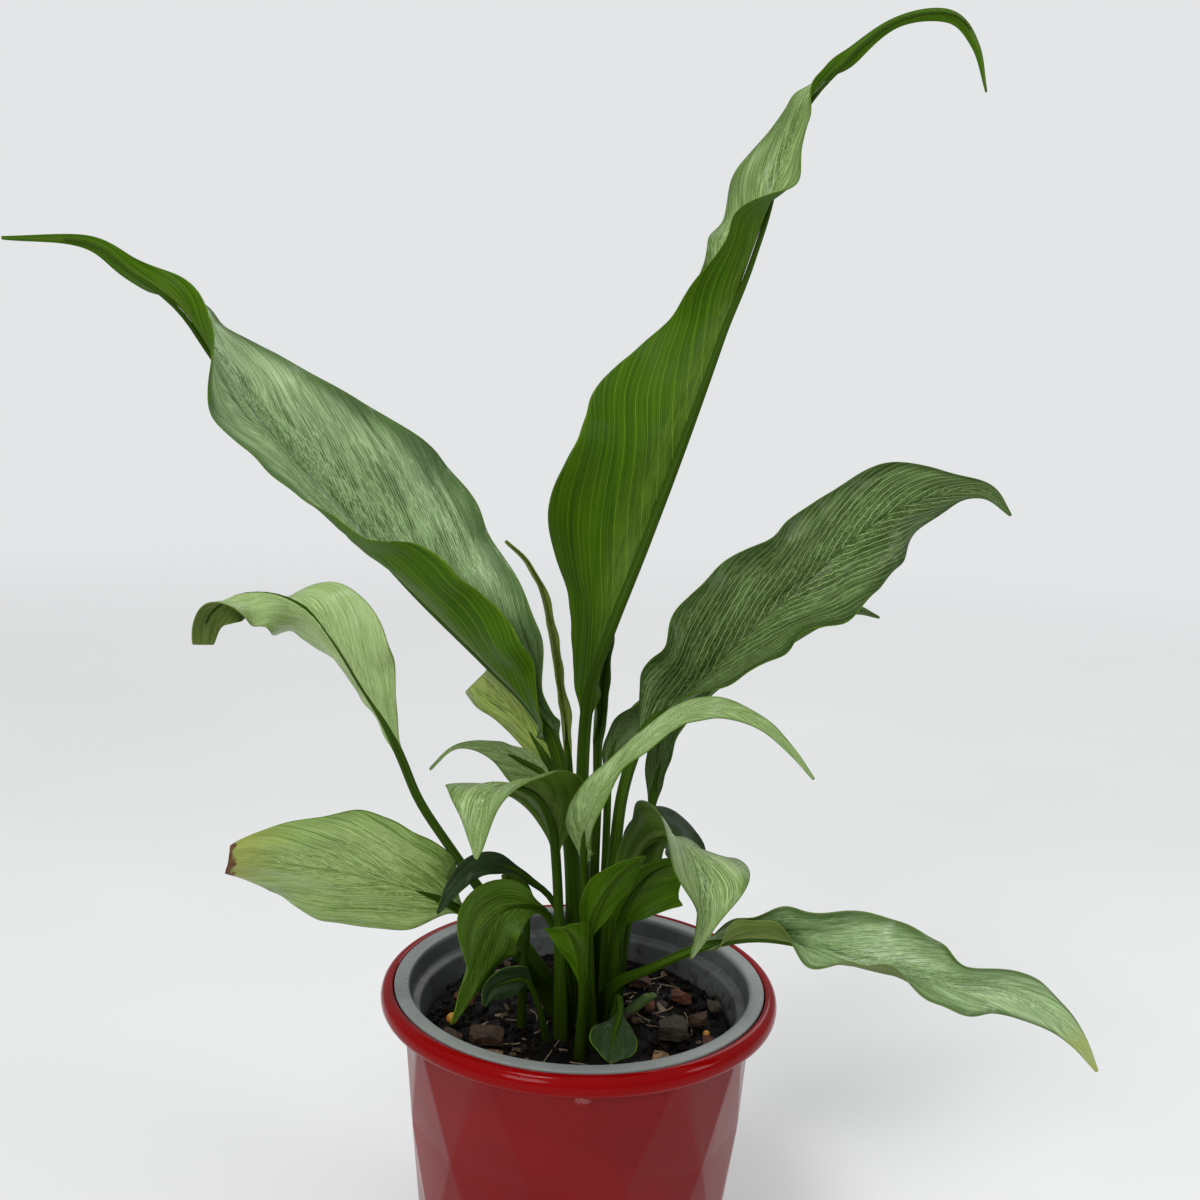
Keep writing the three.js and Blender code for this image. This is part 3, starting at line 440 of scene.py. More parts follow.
    dict(name="leaf_spear_left", slot="leaf_spear", look="lime", under="dusky", sheath=0.6, stalk=1.5,
         blade=2.5,
         path=[[0, 13, base], [-2, 15, 155], [-6, 16, 195], [-9, 17, 221], [-14, 17, 250], [-19, 17, 273],
         [-25, 15, 286], [-34, 14, 295]],
         widths=[0.9, 4.1, 4.5, 3.8, 2.4, 0.9], wave=[0, 2, 0],
         left=[[65, 35]] * 4, right=[[40, 25]] * 4),
    dict(name="leaf_spear_right", slot="leaf_spear", look="fresh", under="olive", sheath=0.6, stalk=1.8,
         blade=2.5,
         path=[[5, 14, base], [4, 18, 154], [4, 27, 192], [3, 37, 222], [4, 47, 246], [7, 56, 267],
         [12, 64, 288]],
         widths=[0.9, 6, 6, 5, 3.1, 0.9], wave=[0, 2, 0],
         left=[[65, 35]] * 4, right=[[40, 25]] * 4),
    dict(name="leaf_low_dark", slot="leaf_dark", look="bluish", under="olive", sheath=0.4, stalk=1.1,
         blade=0.9, face=[0.5, -0.8, 0.2],
         path=[[-10, -22, base], [-18, -27, 140], [-25, -32, 143], [-31, -37, 142], [-33, -40, 137]],
         widths=[0.9, 4.6, 6, 6, 4, 0.9], wave=[0, 2, 0],
         left=[[10, 0]] * 4, right=[[10, 0]] * 4),
]


# leaf finishes; each blade carries two vectors for them: "blade" holds the place across it, from -1
# at the left margin to 1 at the right, and the place along it, from 0 to 1 at the tip; "veins" holds
# the number of side veins so far, the distance out from the midrib in mm, and the side

upperLooks = dict(
    silver=dict(deep=(0.060, 0.128, 0.024), middle=(0.086, 0.170, 0.038),
                pale=(0.64, 0.84, 0.44), frost=(0.31, 0.47, 0.20),
                veins=0.80, hairs=0.75, net=0.60, frosting=0.95, margin=0.92, gloss=0.50),
    veined=dict(deep=(0.011, 0.036, 0.001), middle=(0.029, 0.068, 0.005),
                pale=(0.40, 0.57, 0.22), frost=(0.105, 0.180, 0.045),
                veins=1.0, hairs=0.20, net=0.35, frosting=0.45, margin=0.6, gloss=0.15),
    netted=dict(deep=(0.040, 0.110, 0.006), middle=(0.105, 0.215, 0.028),
                pale=(0.62, 0.80, 0.34), frost=(0.28, 0.44, 0.14),
                veins=1.0, hairs=0.30, net=0.60, frosting=0.50, margin=0.5, gloss=0.40),
    soft=dict(deep=(0.200, 0.330, 0.075), middle=(0.350, 0.510, 0.165),
              pale=(0.68, 0.83, 0.42), frost=(0.50, 0.67, 0.30),
              veins=0.75, hairs=0.40, net=0.15, frosting=0.55, margin=0.2, gloss=0.42),
    speckled=dict(deep=(0.085, 0.190, 0.012), middle=(0.210, 0.360, 0.060),
                  pale=(0.64, 0.80, 0.32), frost=(0.42, 0.60, 0.20),
                  veins=0.95, hairs=0.40, net=0.40, frosting=0.60, margin=0.4, gloss=0.38),
    fresh=dict(deep=(0.034, 0.100, 0.001), middle=(0.075, 0.170, 0.004),
               pale=(0.34, 0.50, 0.10), frost=(0.18, 0.31, 0.04),
               veins=0.70, hairs=0.20, net=0.12, frosting=0.25, margin=0.2, gloss=0.26),
    lime=dict(deep=(0.060, 0.130, 0.006), middle=(0.330, 0.450, 0.060),
              pale=(0.62, 0.72, 0.24), frost=(0.48, 0.58, 0.14),
              veins=0.50, hairs=0.30, net=0.20, frosting=0.60, margin=0.6, gloss=0.30),
    bluish=dict(deep=(0.008, 0.024, 0.004), middle=(0.018, 0.042, 0.010),
                pale=(0.11, 0.17, 0.07), frost=(0.045, 0.078, 0.032),
                veins=0.55, hairs=0.12, net=0.12, frosting=0.20, margin=0.3, gloss=0.16),
)

underLooks = dict(
    clear=dict(deep=(0.030, 0.092, 0.0005), middle=(0.058, 0.142, 0.0006),
               vein=(0.300, 0.480, 0.050), dull=(0.130, 0.205, 0.036)),
    olive=dict(deep=(0.055, 0.115, 0.008), middle=(0.100, 0.180, 0.018),
               vein=(0.240, 0.350, 0.080), dull=(0.170, 0.240, 0.075)),
    dusky=dict(deep=(0.115, 0.170, 0.030), middle=(0.180, 0.250, 0.055),
               vein=(0.340, 0.440, 0.150), dull=(0.250, 0.325, 0.110)),
)

tipZones = dict(none=None, yellow=dict(yellow=(0.86, 1.00), brown=1.2),
                scorched=dict(yellow=(0.76, 1.00), brown=0.968))
tipShades = dict(yellow=(0.36, 0.38, 0.07), brown=(0.13, 0.055, 0.016))

# hair veins to one side vein, roughness above, gloss below, light let through
leafSplit = dict(hairs=3, sheen=(0.20, 0.36), underGloss=0.08, glow=0.22, glowTint=(1.0, 1.0, 0.5))


def bladeRun(tree):    # where on the blade a point is, and along which side vein
    place = splitOf(tree, attributeOf(tree, "blade"))
    veins = attributeOf(tree, "veins")
    parts = splitOf(tree, veins)
    waver = noiseOf(tree, scaled(tree, veins, (0.45, 0.05, 3.0)), 1.0, 2)
    q = plus(tree, parts["X"], times(tree, sumOf(tree, "SUBTRACT", waver, 0.5), 0.4))
    return dict(across=sumOf(tree, "ABSOLUTE", place["X"]), along=place["Y"], q=q, out=parts["Y"],
                grain=joinOf(tree, q, parts["Y"], parts["Z"]))


def lines(tree, q, count, width):    # soft thin lines, evenly spaced
    near = sumOf(tree, "PINGPONG", times(tree, q, count), 0.5)
    return eased(tree, near, 0.0, width, 1.0, 0.0)


def tipColour(tree, run, colour, tip):    # yellowing and dry brown towards the tip
    zone = tipZones[tip]
    if zone is None:
        return colour
    ragged = noiseOf(tree, coordinates(tree, "Object"), 260.0, 3)
    reach = plus(tree, run["along"], times(tree, sumOf(tree, "SUBTRACT", ragged, 0.5), 0.14))
    colour = blended(tree, eased(tree, reach, *zone["yellow"], 0.0, 0.8), colour, tipShades["yellow"])
    scorch = eased(tree, reach, zone["brown"], zone["brown"] + 0.02)
    return blended(tree, scorch, colour, tipShades["brown"])


def upperFinish(name, look, tip):
    finish, tree, place = newFinish(name)
    run = bladeRun(tree)
    hairs = leafSplit["hairs"]
    mottle = noiseOf(tree, scaled(tree, run["grain"], (hairs * 0.9, 0.35, 3.0)), 1.0, 3, 0.3, 0.6)
    cloud = noiseOf(tree, scaled(tree, run["grain"], (0.55, 0.09, 5.0)), 1.0, 2, 0.2)
    streak = noiseOf(tree, scaled(tree, run["grain"], (2.2, 0.06, 5.0)), 1.0, 2)
    colour = blended(tree, eased(tree, mottle, 0.36, 0.62), look["deep"], look["middle"])
    inside = eased(tree, run["across"], 0.70, 0.96, 1.0, 1.0 - look["margin"])
    colour = blended(tree, eased(tree, streak, 0.36, 0.56, 0.55, 0.0), colour, look["deep"])
    frost = times(tree, eased(tree, mottle, 0.34, 0.62, 0.5, 1.0), eased(tree, cloud, 0.30, 0.58))
    frost = times(tree, frost, eased(tree, streak, 0.30, 0.60, 0.35, 1.0))
    frost = times(tree, times(tree, frost, inside), look["frosting"])
    colour = blended(tree, frost, colour, look["frost"])
    faint = noiseOf(tree, scaled(tree, run["grain"], (1.7, 0.12, 3.0)), 1.0, 2)
    vein = times(tree, lines(tree, run["q"], 1, 0.095), eased(tree, faint, 0.25, 0.55, 0.5, 1.0))
    hair = times(tree, lines(tree, run["q"], hairs, 0.20), eased(tree, faint, 0.32, 0.56))
    cells = cellsOf(tree, scaled(tree, run["grain"], (hairs * 1.4, 0.55, 7.0)), 1.0, "DISTANCE_TO_EDGE")
    net = times(tree, eased(tree, cells, 0.02, 0.16, 1.0, 0.0), eased(tree, cloud, 0.25, 0.55, 0.3, 1.0))
    drawn = sumOf(tree, "MAXIMUM", times(tree, vein, look["veins"]),
                  sumOf(tree, "MAXIMUM", times(tree, hair, look["hairs"]),
                        times(tree, net, look["net"])))
    colour = blended(tree, times(tree, drawn, inside), colour, look["pale"])
    colour = blended(tree, eased(tree, run["across"], 0.010, 0.030, 0.5, 0.0), colour, look["deep"])
    colour = blended(tree, eased(tree, run["across"], 0.975, 1.0, 0.0, 0.5), colour, look["deep"])
    colour = tipColour(tree, run, colour, tip)
    fine = noiseOf(tree, place, 1400.0, 2)
    shine = eased(tree, noiseOf(tree, place, 70.0, 3), 0.3, 0.7, *leafSplit["sheen"])
    relief = plus(tree, times(tree, lines(tree, run["q"], 1, 0.16), -0.8), times(tree, mottle, 0.7))
    relief = plus(tree, relief, times(tree, fine, 0.25))
    leafShader(tree, colour, shine, bumpOf(tree, relief, 0.45, 0.0003), look["gloss"])
    return finish


def underFinish(name, look, tip):
    finish, tree, place = newFinish(name)
    run = bladeRun(tree)
    cloud = noiseOf(tree, scaled(tree, run["grain"], (0.8, 0.07, 5.0)), 1.0, 3, 0.3)
    colour = blended(tree, eased(tree, cloud, 0.32, 0.66), look["deep"], look["middle"])
    nearRib = eased(tree, run["across"], 0.04, 0.50, 0.7, 0.0)
    colour = blended(tree, times(tree, nearRib, cloud), colour, look["dull"])
    vein = lines(tree, run["q"], 0.5, 0.030)    # every second side vein stands out
    band = lines(tree, run["q"], 1, 0.16)
    hair = lines(tree, run["q"], leafSplit["hairs"], 0.35)
    drawn = sumOf(tree, "MAXIMUM", times(tree, vein, 0.65),
                  sumOf(tree, "MAXIMUM", times(tree, band, 0.14), times(tree, hair, 0.07)))
    colour = blended(tree, drawn, colour, look["vein"])
    colour = blended(tree, eased(tree, run["across"], 0.975, 1.0, 0.0, 0.15), colour, look["vein"])
    colour = tipColour(tree, run, colour, tip)
    fine = noiseOf(tree, place, 1600.0, 2)
    relief = plus(tree, times(tree, vein, 0.8), times(tree, fine, 0.3))
    shine = eased(tree, cloud, 0.3, 0.7, 0.40, 0.52)
    leafShader(tree, colour, shine, bumpOf(tree, relief, 0.4, 0.0003), leafSplit["underGloss"])
    return finish


def leafShader(tree, colour, shine, bump, gloss):    # a waxy face that also lets some light through
    shader = setShader(tree, colour, shine, bump, gloss)
    tinted = blended(tree, 1.0, colour, leafSplit["glowTint"], "MULTIPLY")
    through = made(tree, "BsdfTranslucent", 0, dict(Color=tinted, Normal=bump))
    mix = made(tree, "MixShader", 0, {0: leafSplit["glow"], 1: shader.outputs[0], 2: through})
    tree.links.new(mix, tree.nodes["Material Output"].inputs["Surface"])


def stalkFinish(name):
    finish, tree, place = newFinish(name)
    uv = coordinates(tree, "UV")
    grain = noiseOf(tree, scaled(tree, uv, (46.0, 5.0, 1.0)), 1.0, 3)
    colour = rampOf(tree, grain, [(0.30, (0.016, 0.044, 0.001)), (0.52, (0.036, 0.086, 0.002)),
                                  (0.75, (0.085, 0.160, 0.014))])
    low = eased(tree, splitOf(tree, place)["Z"], 0.115, 0.156, 0.80, 0.0)    # painted shade: the stalks darken towards the compost, where their bases sit in shade
    colour = blended(tree, low, colour, (0.014, 0.024, 0.001))
    shine = eased(tree, grain, 0.3, 0.7, 0.34, 0.48)
    leafShader(tree, colour, shine, bumpOf(tree, grain, 0.3, 0.0004), leafSplit["underGloss"])
    return finish


leafFinishes = {}


def leafFinish(side, look="green", tip="none"):    # made once for each look and tip
    name = side + look.capitalize() + ("" if tip == "none" else tip.capitalize())
    if name not in leafFinishes:
        if side == "upper":
            leafFinishes[name] = upperFinish(name, upperLooks[look], tip)
        elif side == "under":
            leafFinishes[name] = underFinish(name, underLooks[look], tip)
        else:
            leafFinishes[name] = stalkFinish(name)
    return leafFinishes[name]


# leaf shape

blade = dict(thick=0.55, columnEvery=2.6, rowEvery=2.4, opening=14,
             groove=0.5, grooveWide=1.3, quilt=0.15, ripple=1.5, rippleEvery=9,
             swell=0.6, swells=1.7, driftEvery=45,    # long soft valleys beside the midrib
             veins=3.8, veinEvery=(2.6, 8.0), veinSweep=(2.5, 0.8))    # mm apart, sweep in half widths
stalk = dict(sunk=5, footReach=14, flatten=25, sink=30, ribEnd=0.93, around=14, ringEvery=4)


def spineOf(leaf):    # stations along the centre line, each with the way the upper face looks
    steps = 400
    points = [Vector(p) for p in leaf["path"]]
    last = len(points) - 1
    axes = [[p[k] for p in points] for k in range(3)]

    def at(t):
        return Vector([keyed(axis, t) for axis in axes])

    stations = []
    face = Vector(leaf.get("face", (0, -1, 0)))
    length = 0.0
    for i in range(steps + 1):
        t = i / steps
        point = at(t)
        along = (at(min(t + 1e-3, 1)) - at(max(t - 1e-3, 0))).normalized()
        if stations:
            length += (point - stations[-1]["point"]).length
        face = (face - along * face.dot(along)).normalized()
        stations.append(dict(point=point, along=along, face=face, length=length, key=t * last))
    return stations


def stationAt(stations, length):
    low, high = 0, len(stations) - 1
    while high - low > 1:
        middle = (low + high) // 2
        if stations[middle]["length"] < length:
            low = middle
        else:
            high = middle
    a, b = stations[low], stations[high]
    w = clamp((length - a["length"]) / (b["length"] - a["length"]))
    along = a["along"].lerp(b["along"], w).normalized()
    face = a["face"].lerp(b["face"], w)
    face = (face - along * face.dot(along)).normalized()
    return a["point"].lerp(b["point"], w), along, face


def twisted(leaf, s, along, face):    # the upper face after the twist at s, 0 to 1 along the blade
    if "twist" not in leaf:
        return face
    return Matrix.Rotation(math.radians(stepped(leaf["twist"], s)), 3, along) @ face


def rowOf(leaf, run, s):    # what one row across the blade needs; s is 0 at its start, 1 at its tip
    point, along, face = stationAt(run["stations"], mixed(run["start"], run["total"], s))
    face = twisted(leaf, s, along, face)
    bladeLength = run["total"] - run["start"]
    grown = smooth(s / min(blade["opening"] / bladeLength, 0.25))
    wide = max(keyed(leaf["widths"], s), 0.5)
    sides = {}
    for side, keys in ((-1, leaf["left"]), (1, leaf["right"])):
        sides[side] = [math.radians(grown * keyed([k[i] for k in keys], s)) for i in range(2)]
    return dict(point=point, face=face, right=along.cross(face), sides=sides, grown=grown, s=s,
                half=mixed(leaf["stalk"], wide, grown), wide=wide, length=s * bladeLength, seed=run["seed"])


def veinAt(leaf, row, r):    # side veins passed so far; they leave the midrib and sweep to the tip
    most = max(leaf["widths"])
    spacing = clamp(most / blade["veins"], *blade["veinEvery"])
    early, late = blade["veinSweep"]
    sweep = mixed(row["wide"], most, 0.3) * (early * r + late * r * r)
    return (row["length"] - sweep) / spacing


def bladePoint(leaf, row, across):    # across is -1 at the left margin, 0 on the midrib, 1 at the right
    side = -1 if across < 0 else 1
    r = abs(across)
    lift, turn = row["sides"][side]
    out = row["right"] * side
    bend = turn * r / 2
    chord = row["half"] * r * (math.sin(bend) / bend if abs(bend) > 1e-4 else 1.0)
    point = row["point"] + (out * math.cos(lift + bend) + row["face"] * math.sin(lift + bend)) * chord
    tilt = lift + turn * r
    normal = row["face"] * math.cos(tilt) - out * math.sin(tilt)
    high, count, start = leaf["wave"]
    s = row["s"]
    size = clamp(row["wide"] / (0.6 * max(leaf["widths"])))
    ruffle = high * r ** 2.5 * math.sin(2 * math.pi * (count * s + start + (0 if side < 0 else 0.37)))
    seed = row["seed"]
    uneven = rough(row["length"] / blade["rippleEvery"], side * 3.0, 0.0, seed)
    ripple = blade["ripple"] * size * r ** 3 * uneven
    rise = math.cos(2 * math.pi * veinAt(leaf, row, r))
    quilt = -blade["quilt"] * size * rise * smooth(r * 5) * (1 - r ** 4)
    groove = -blade["groove"] * size * math.exp(-(r * row["half"] / blade["grooveWide"]) ** 2)
    drift = 0.8 * rough(row["length"] / blade["driftEvery"], side * 2.0, 1.0, seed)
    wave = math.sin(2 * math.pi * (blade["swells"] * r + drift))
    swell = blade["swell"] * size * wave * smooth(r * 3) * (1 - r ** 4)
    return point + normal * row["grown"] * (ruffle * size + ripple + quilt + swell + groove)


def bladeMesh(leaf, run):
    bladeLength = run["total"] - run["start"]
    columns = 2 * max(4, round(max(leaf["widths"]) / blade["columnEvery"]))
    rows = max(16, round(bladeLength / blade["rowEvery"]))
    bpy.ops.mesh.primitive_grid_add(x_subdivisions=columns, y_subdivisions=rows, size=2)
    sheet = bpy.context.object
    placed = sheet.data.attributes.new("blade", "FLOAT_VECTOR", "POINT")
    veined = sheet.data.attributes.new("veins", "FLOAT_VECTOR", "POINT")
    made = {}
    for vertex in sheet.data.vertices:
        across = vertex.co.x
        s = round((vertex.co.y + 1) / 2, 5)
        if s not in made:
            made[s] = rowOf(leaf, run, s)
        row = made[s]
        side = clamp(across * 4, -1, 1)
        placed.data[vertex.index].vector = (across, s, 0)
        veined.data[vertex.index].vector = (veinAt(leaf, row, abs(across)), abs(across) * row["half"], side)
        vertex.co = bladePoint(leaf, row, across) * mm
    tip = leaf.get("tip", "none")
    sheet.data.materials.append(leafFinish("upper", leaf["look"], tip))
    sheet.data.materials.append(leafFinish("under", leaf.get("under", "clear"), tip))
    applied(sheet, "thickness", "SOLIDIFY", thickness=blade["thick"] * mm, offset=0,
            material_offset=1, material_offset_rim=1)
    rounded(sheet)
    return sheet


def stalkPoint(leaf, run, along, around):    # along 0 at the crown, 1 where the midrib ends
    length = along * mixed(run["start"], run["total"], stalk["ribEnd"])
    point, way, face = stationAt(run["stations"], length)
    r = leaf["stalk"]
    if length < run["start"]:
        t = length / run["start"]
        wide = r * (1 + leaf["sheath"] * (1 - smooth(t * 1.4)))
        high = r * (1 + 0.12 * (1 - t))
        sunk = 0.0
        hollow = 0.45 * (1 - smooth(t * 1.2))
    else:
        s = (length - run["start"]) / (run["total"] - run["start"])
        face = twisted(leaf, s, way, face)
        wide = r * 0.85 * (1 - s) ** 0.9 + 0.22
        high = wide * 0.9
        wide = mixed(r, wide, smooth((length - run["start"]) / stalk["flatten"]))
        high = mixed(r, high, smooth((length - run["start"]) / stalk["flatten"]))
        sunk = -(high + 0.32) * smooth((length - run["start"]) / stalk["sink"])
        hollow = 0.0
    side = way.cross(face)
    x, y = math.cos(around), math.sin(around)
    if y > 0:
        y *= 1 - hollow * (1 - x * x) ** 0.5 * 1.6    # the channel on the inner face
    foot = Vector((0, 0, stalk["sunk"])) * (1 - smooth(length / stalk["footReach"]))    # in the compost
    return point - foot + side * (wide * x) + face * (high * y + sunk)


def stalkMesh(leaf, run):
    rows = max(10, round(mixed(run["start"], run["total"], stalk["ribEnd"]) / stalk["ringEvery"]))
    bpy.ops.mesh.primitive_grid_add(x_subdivisions=stalk["around"], y_subdivisions=rows, size=2)
    tube = bpy.context.object
    for vertex in tube.data.vertices:
        around = math.pi * (vertex.co.x + 1)
        vertex.co = stalkPoint(leaf, run, (vertex.co.y + 1) / 2, around) * mm
    editAll()
    bpy.ops.mesh.remove_doubles(threshold=1e-6)
    bpy.ops.mesh.fill_holes(sides=0)
    closeUp()
    tube.data.materials.append(leafFinish("stalk"))
    return tube


def addLeaf(leaf, number):
    stations = spineOf(leaf)
    start = next(s["length"] for s in stations if s["key"] >= leaf["blade"])
    run = dict(stations=stations, start=start, total=stations[-1]["length"], seed=number)
    deselectAll()
    tube = stalkMesh(leaf, run)
    deselectAll()
    sheet = bladeMesh(leaf, run)
    pick(sheet, tube)
    bpy.ops.object.join()
    finishPiece(sheet, leaf["name"].replace("leaf_", "grown_"), [leaf["name"]])


def finishPiece(piece, name, nodes, crease=50):    # smooth, named, riding on the one body
    pick(piece)
    bpy.ops.object.shade_smooth_by_angle(angle=math.radians(crease))
    piece.name = name
    piece.data.name = name
    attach(piece, "root")
    if nodes:
        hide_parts(*nodes)
    deselectAll()


# turned pieces

def turned(name, profile, steps, closed=False):    # (radius, height) points in mm, spun upright
    deselectAll()
    first = profile[0]
    bpy.ops.mesh.primitive_plane_add(size=mm, location=(first[0] * mm, 0, first[1] * mm))
    piece = bpy.context.object
    piece.name = name
    bpy.ops.object.transform_apply(location=True, rotation=True, scale=True)
    editAll()
    bpy.ops.mesh.merge(type="CENTER")
    for a, b in zip(profile, profile[1:] + (profile[:1] if closed else [])):
        step = ((b[0] - a[0]) * mm, 0, (b[1] - a[1]) * mm)
        bpy.ops.mesh.extrude_region_move(TRANSFORM_OT_translate={"value": step})
    bpy.ops.mesh.select_all(action="SELECT")
    bpy.ops.mesh.spin(steps=steps, angle=2 * math.pi, center=(0, 0, 0), axis=(0, 0, 1))
    bpy.ops.mesh.select_all(action="SELECT")
    bpy.ops.mesh.remove_doubles(threshold=1e-6)
    closeUp()
    return piece


def applied(piece, name, kind, **settings):    # a modifier put on and applied
    modifier = piece.modifiers.new(name, kind)
    for key, value in settings.items():
        setattr(modifier, key, value)
    bpy.context.view_layer.objects.active = piece
    bpy.ops.object.modifier_apply(modifier=name)


def rounded(piece):
    applied(piece, "smooth", "SUBSURF", levels=1, render_levels=1)


def setFinish(piece, finish):
    piece.data.materials.clear()
    piece.data.materials.append(finish)


def joined(pieces):    # the first piece takes in the others
    pick(*pieces)
    bpy.ops.object.join()
    return pieces[0]


# red cover pot: a body of tall triangular facets under a rolled rim

coverPot = dict(corners=12, topCorner=-87.8, rings=(0, 38, 80, 122), foot=56.5, neck=67, neckHeight=122,
                floor=3, edge=0.9)


def facetedBody():
    pot = coverPot
    half = 180 / pot["corners"]
    bpy.ops.mesh.primitive_cylinder_add(vertices=pot["corners"], radius=pot["foot"] * mm, depth=mm,
                                        location=(0, 0, mm / 2))
    body = bpy.context.object
    bpy.ops.object.transform_apply(location=True, rotation=True, scale=True)
    bpy.ops.object.mode_set(mode="EDIT")
    bpy.ops.mesh.select_all(action="DESELECT")
    bpy.ops.object.mode_set(mode="OBJECT")
    for face in body.data.polygons:    # only the top face goes on up
        face.select = face.normal.z > 0.9
    bpy.ops.object.mode_set(mode="EDIT")
    for low, high in zip(pot["rings"], pot["rings"][1:]):
        rise = high - low - (1 if low == 0 else 0)
        bpy.ops.mesh.extrude_region_move(TRANSFORM_OT_translate={"value": (0, 0, rise * mm)})
    bpy.ops.object.mode_set(mode="OBJECT")
    for vertex in body.data.vertices:    # each ring takes its radius and stands half a corner round
        height = vertex.co.z / mm
        ring = min(range(len(pot["rings"])), key=lambda i: abs(pot["rings"][i] - height))
        if height < 1.5:
            ring = 0
        radius = mixed(pot["foot"], pot["neck"], height / pot["neckHeight"])
        corner = round((math.degrees(math.atan2(vertex.co.y, vertex.co.x)) - 90) / (2 * half))
        turn = pot["topCorner"] + corner * 2 * half + ((len(pot["rings"]) - 1 - ring) % 2) * half
        vertex.co.x = radius * math.cos(math.radians(turn)) * mm
        vertex.co.y = radius * math.sin(math.radians(turn)) * mm
    editAll()
    bpy.ops.mesh.quads_convert_to_tris(quad_method="SHORTEST_DIAGONAL", ngon_method="BEAUTY")
    bpy.ops.mesh.normals_make_consistent(inside=False)
    bpy.ops.mesh.dissolve_limited(angle_limit=math.radians(0.5))
    bpy.ops.object.mode_set(mode="OBJECT")
    applied(body, "edges", "BEVEL", width=pot["edge"] * mm, segments=3, limit_method="ANGLE",
            angle_limit=math.radians(4))
    return body


def addCoverPot():
    pot = coverPot
    body = facetedBody()
    inside = turned("cavity", [(0, pot["floor"]), (52.1, pot["floor"]), (62.6, 118), (67.5, 122.5),
                               (67.5, 126), (0, 126)], 96)
    deselectAll()
    applied(body, "hollow", "BOOLEAN", object=inside, operation="DIFFERENCE", solver="EXACT")
    bpy.data.objects.remove(inside, do_unlink=True)
    roll = [(62.9, 118.4), (64.8, 120.2), (67.4, 121.6), (72.0, 122.0), (74.0, 122.5), (74.8, 123.8),
            (75.0, 125.6), (74.6, 127.6), (73.7, 129.0), (72.6, 129.7), (71.6, 129.8), (70.6, 129.6),
            (70.25, 129.0), (70.2, 127.0), (67.4, 122.6), (64.8, 120.4)]
    rim = turned("rim", roll, 120, closed=True)
    deselectAll()
    rounded(rim)
    setFinish(body, redFinish("glossyRed", **redLooks["body"]))
    setFinish(rim, redFinish("glossyRedRim", **redLooks["rim"]))
    finishPiece(joined([body, rim]), "cover_pot", ["outer_pot"], 22)


redLooks = dict(
    body=dict(dark=(0.140, 0.0014, 0.0026), light=(0.195, 0.0022, 0.0038),
              specular=0.18, sheen=(0.16, 0.30)),
    rim=dict(dark=(0.190, 0.0004, 0.0010), light=(0.225, 0.0006, 0.0014),
             specular=0.09, sheen=(0.07, 0.13)),
)


def redFinish(name, dark, light, specular, sheen):
    finish, tree, place = newFinish(name)
    cloud = noiseOf(tree, place, 18.0, 4)
    colour = rampOf(tree, cloud, [(0.30, dark), (0.70, light)])
    dust = cellsOf(tree, place, 170.0)
    speck = times(tree, eased(tree, dust, 0.045, 0.075, 1.0, 0.0),
                  eased(tree, noiseOf(tree, place, 26.0, 2), 0.56, 0.66))
    colour = blended(tree, times(tree, speck, 0.55), colour, (0.07, 0.018, 0.012))
    scuffAt = scaled(tree, place, (1, 1, 1), (-0.003, 0.067, -0.1175))
    scuffed = times(tree, scuffShape(tree, scuffAt),
                    eased(tree, noiseOf(tree, place, 1500.0, 3), 0.34, 0.64))
    colour = blended(tree, times(tree, scuffed, 0.45), colour, (0.50, 0.27, 0.24))
    smear = noiseOf(tree, scaled(tree, place, (1, 1, 0.35)), 34.0, 4)
    gloss = eased(tree, smear, 0.30, 0.72, *sheen)
    fine = noiseOf(tree, place, 420.0, 2)
    setShader(tree, colour, gloss, bumpOf(tree, fine, 0.10, 0.0002), specular)
    return finish


def scuffShape(tree, vector):    # a small flat patch, 7 mm wide and 3 mm high
    parts = splitOf(tree, vector)
    wide, deep, high = (sumOf(tree, "POWER", sumOf(tree, "ABSOLUTE", times(tree, parts[axis], scale)), 2.0)
                        for axis, scale in (("X", 280.0), ("Y", 120.0), ("Z", 650.0)))
    return eased(tree, plus(tree, plus(tree, wide, high), deep), 0.0, 1.0, 1.0, 0.0)


# grey nursery pot: thin wall, flat flange, a ledge just inside the mouth

nurseryPot = dict(foot=48, floor=3.3, wall=1.2)


def addNurseryPot():
    pot = nurseryPot
    z, w = pot["floor"], pot["wall"]
    profile = [(0, z), (pot["foot"] - 1.5, z), (pot["foot"], z + 1), (60.9, 117.6), (61.6, 119.2),
               (64.0, 121.0), (65.2, 122.6), (65.5, 127.8), (66.0, 128.4), (69.5, 128.5),
               (69.9, 128.9), (69.9, 129.7), (69.6, 130.0), (65.3, 130.0), (64.5, 129.6),
               (64.2, 128.7), (63.4, 122.8), (62.7, 121.9), (60.9, 121.5), (60.1, 120.9),
               (59.7, 119.6), (pot["foot"] - w, z + 2), (pot["foot"] - 3, z + w), (0, z + w)]
    piece = turned("nursery_pot", profile, 128)
    deselectAll()
    piece.select_set(True)
    applied(piece, "round", "BEVEL", width=0.25 * mm, segments=2, limit_method="ANGLE",
            angle_limit=math.radians(25))
    setFinish(piece, greyFinish())
    finishPiece(piece, "nursery_pot", ["inner_pot"], 40)


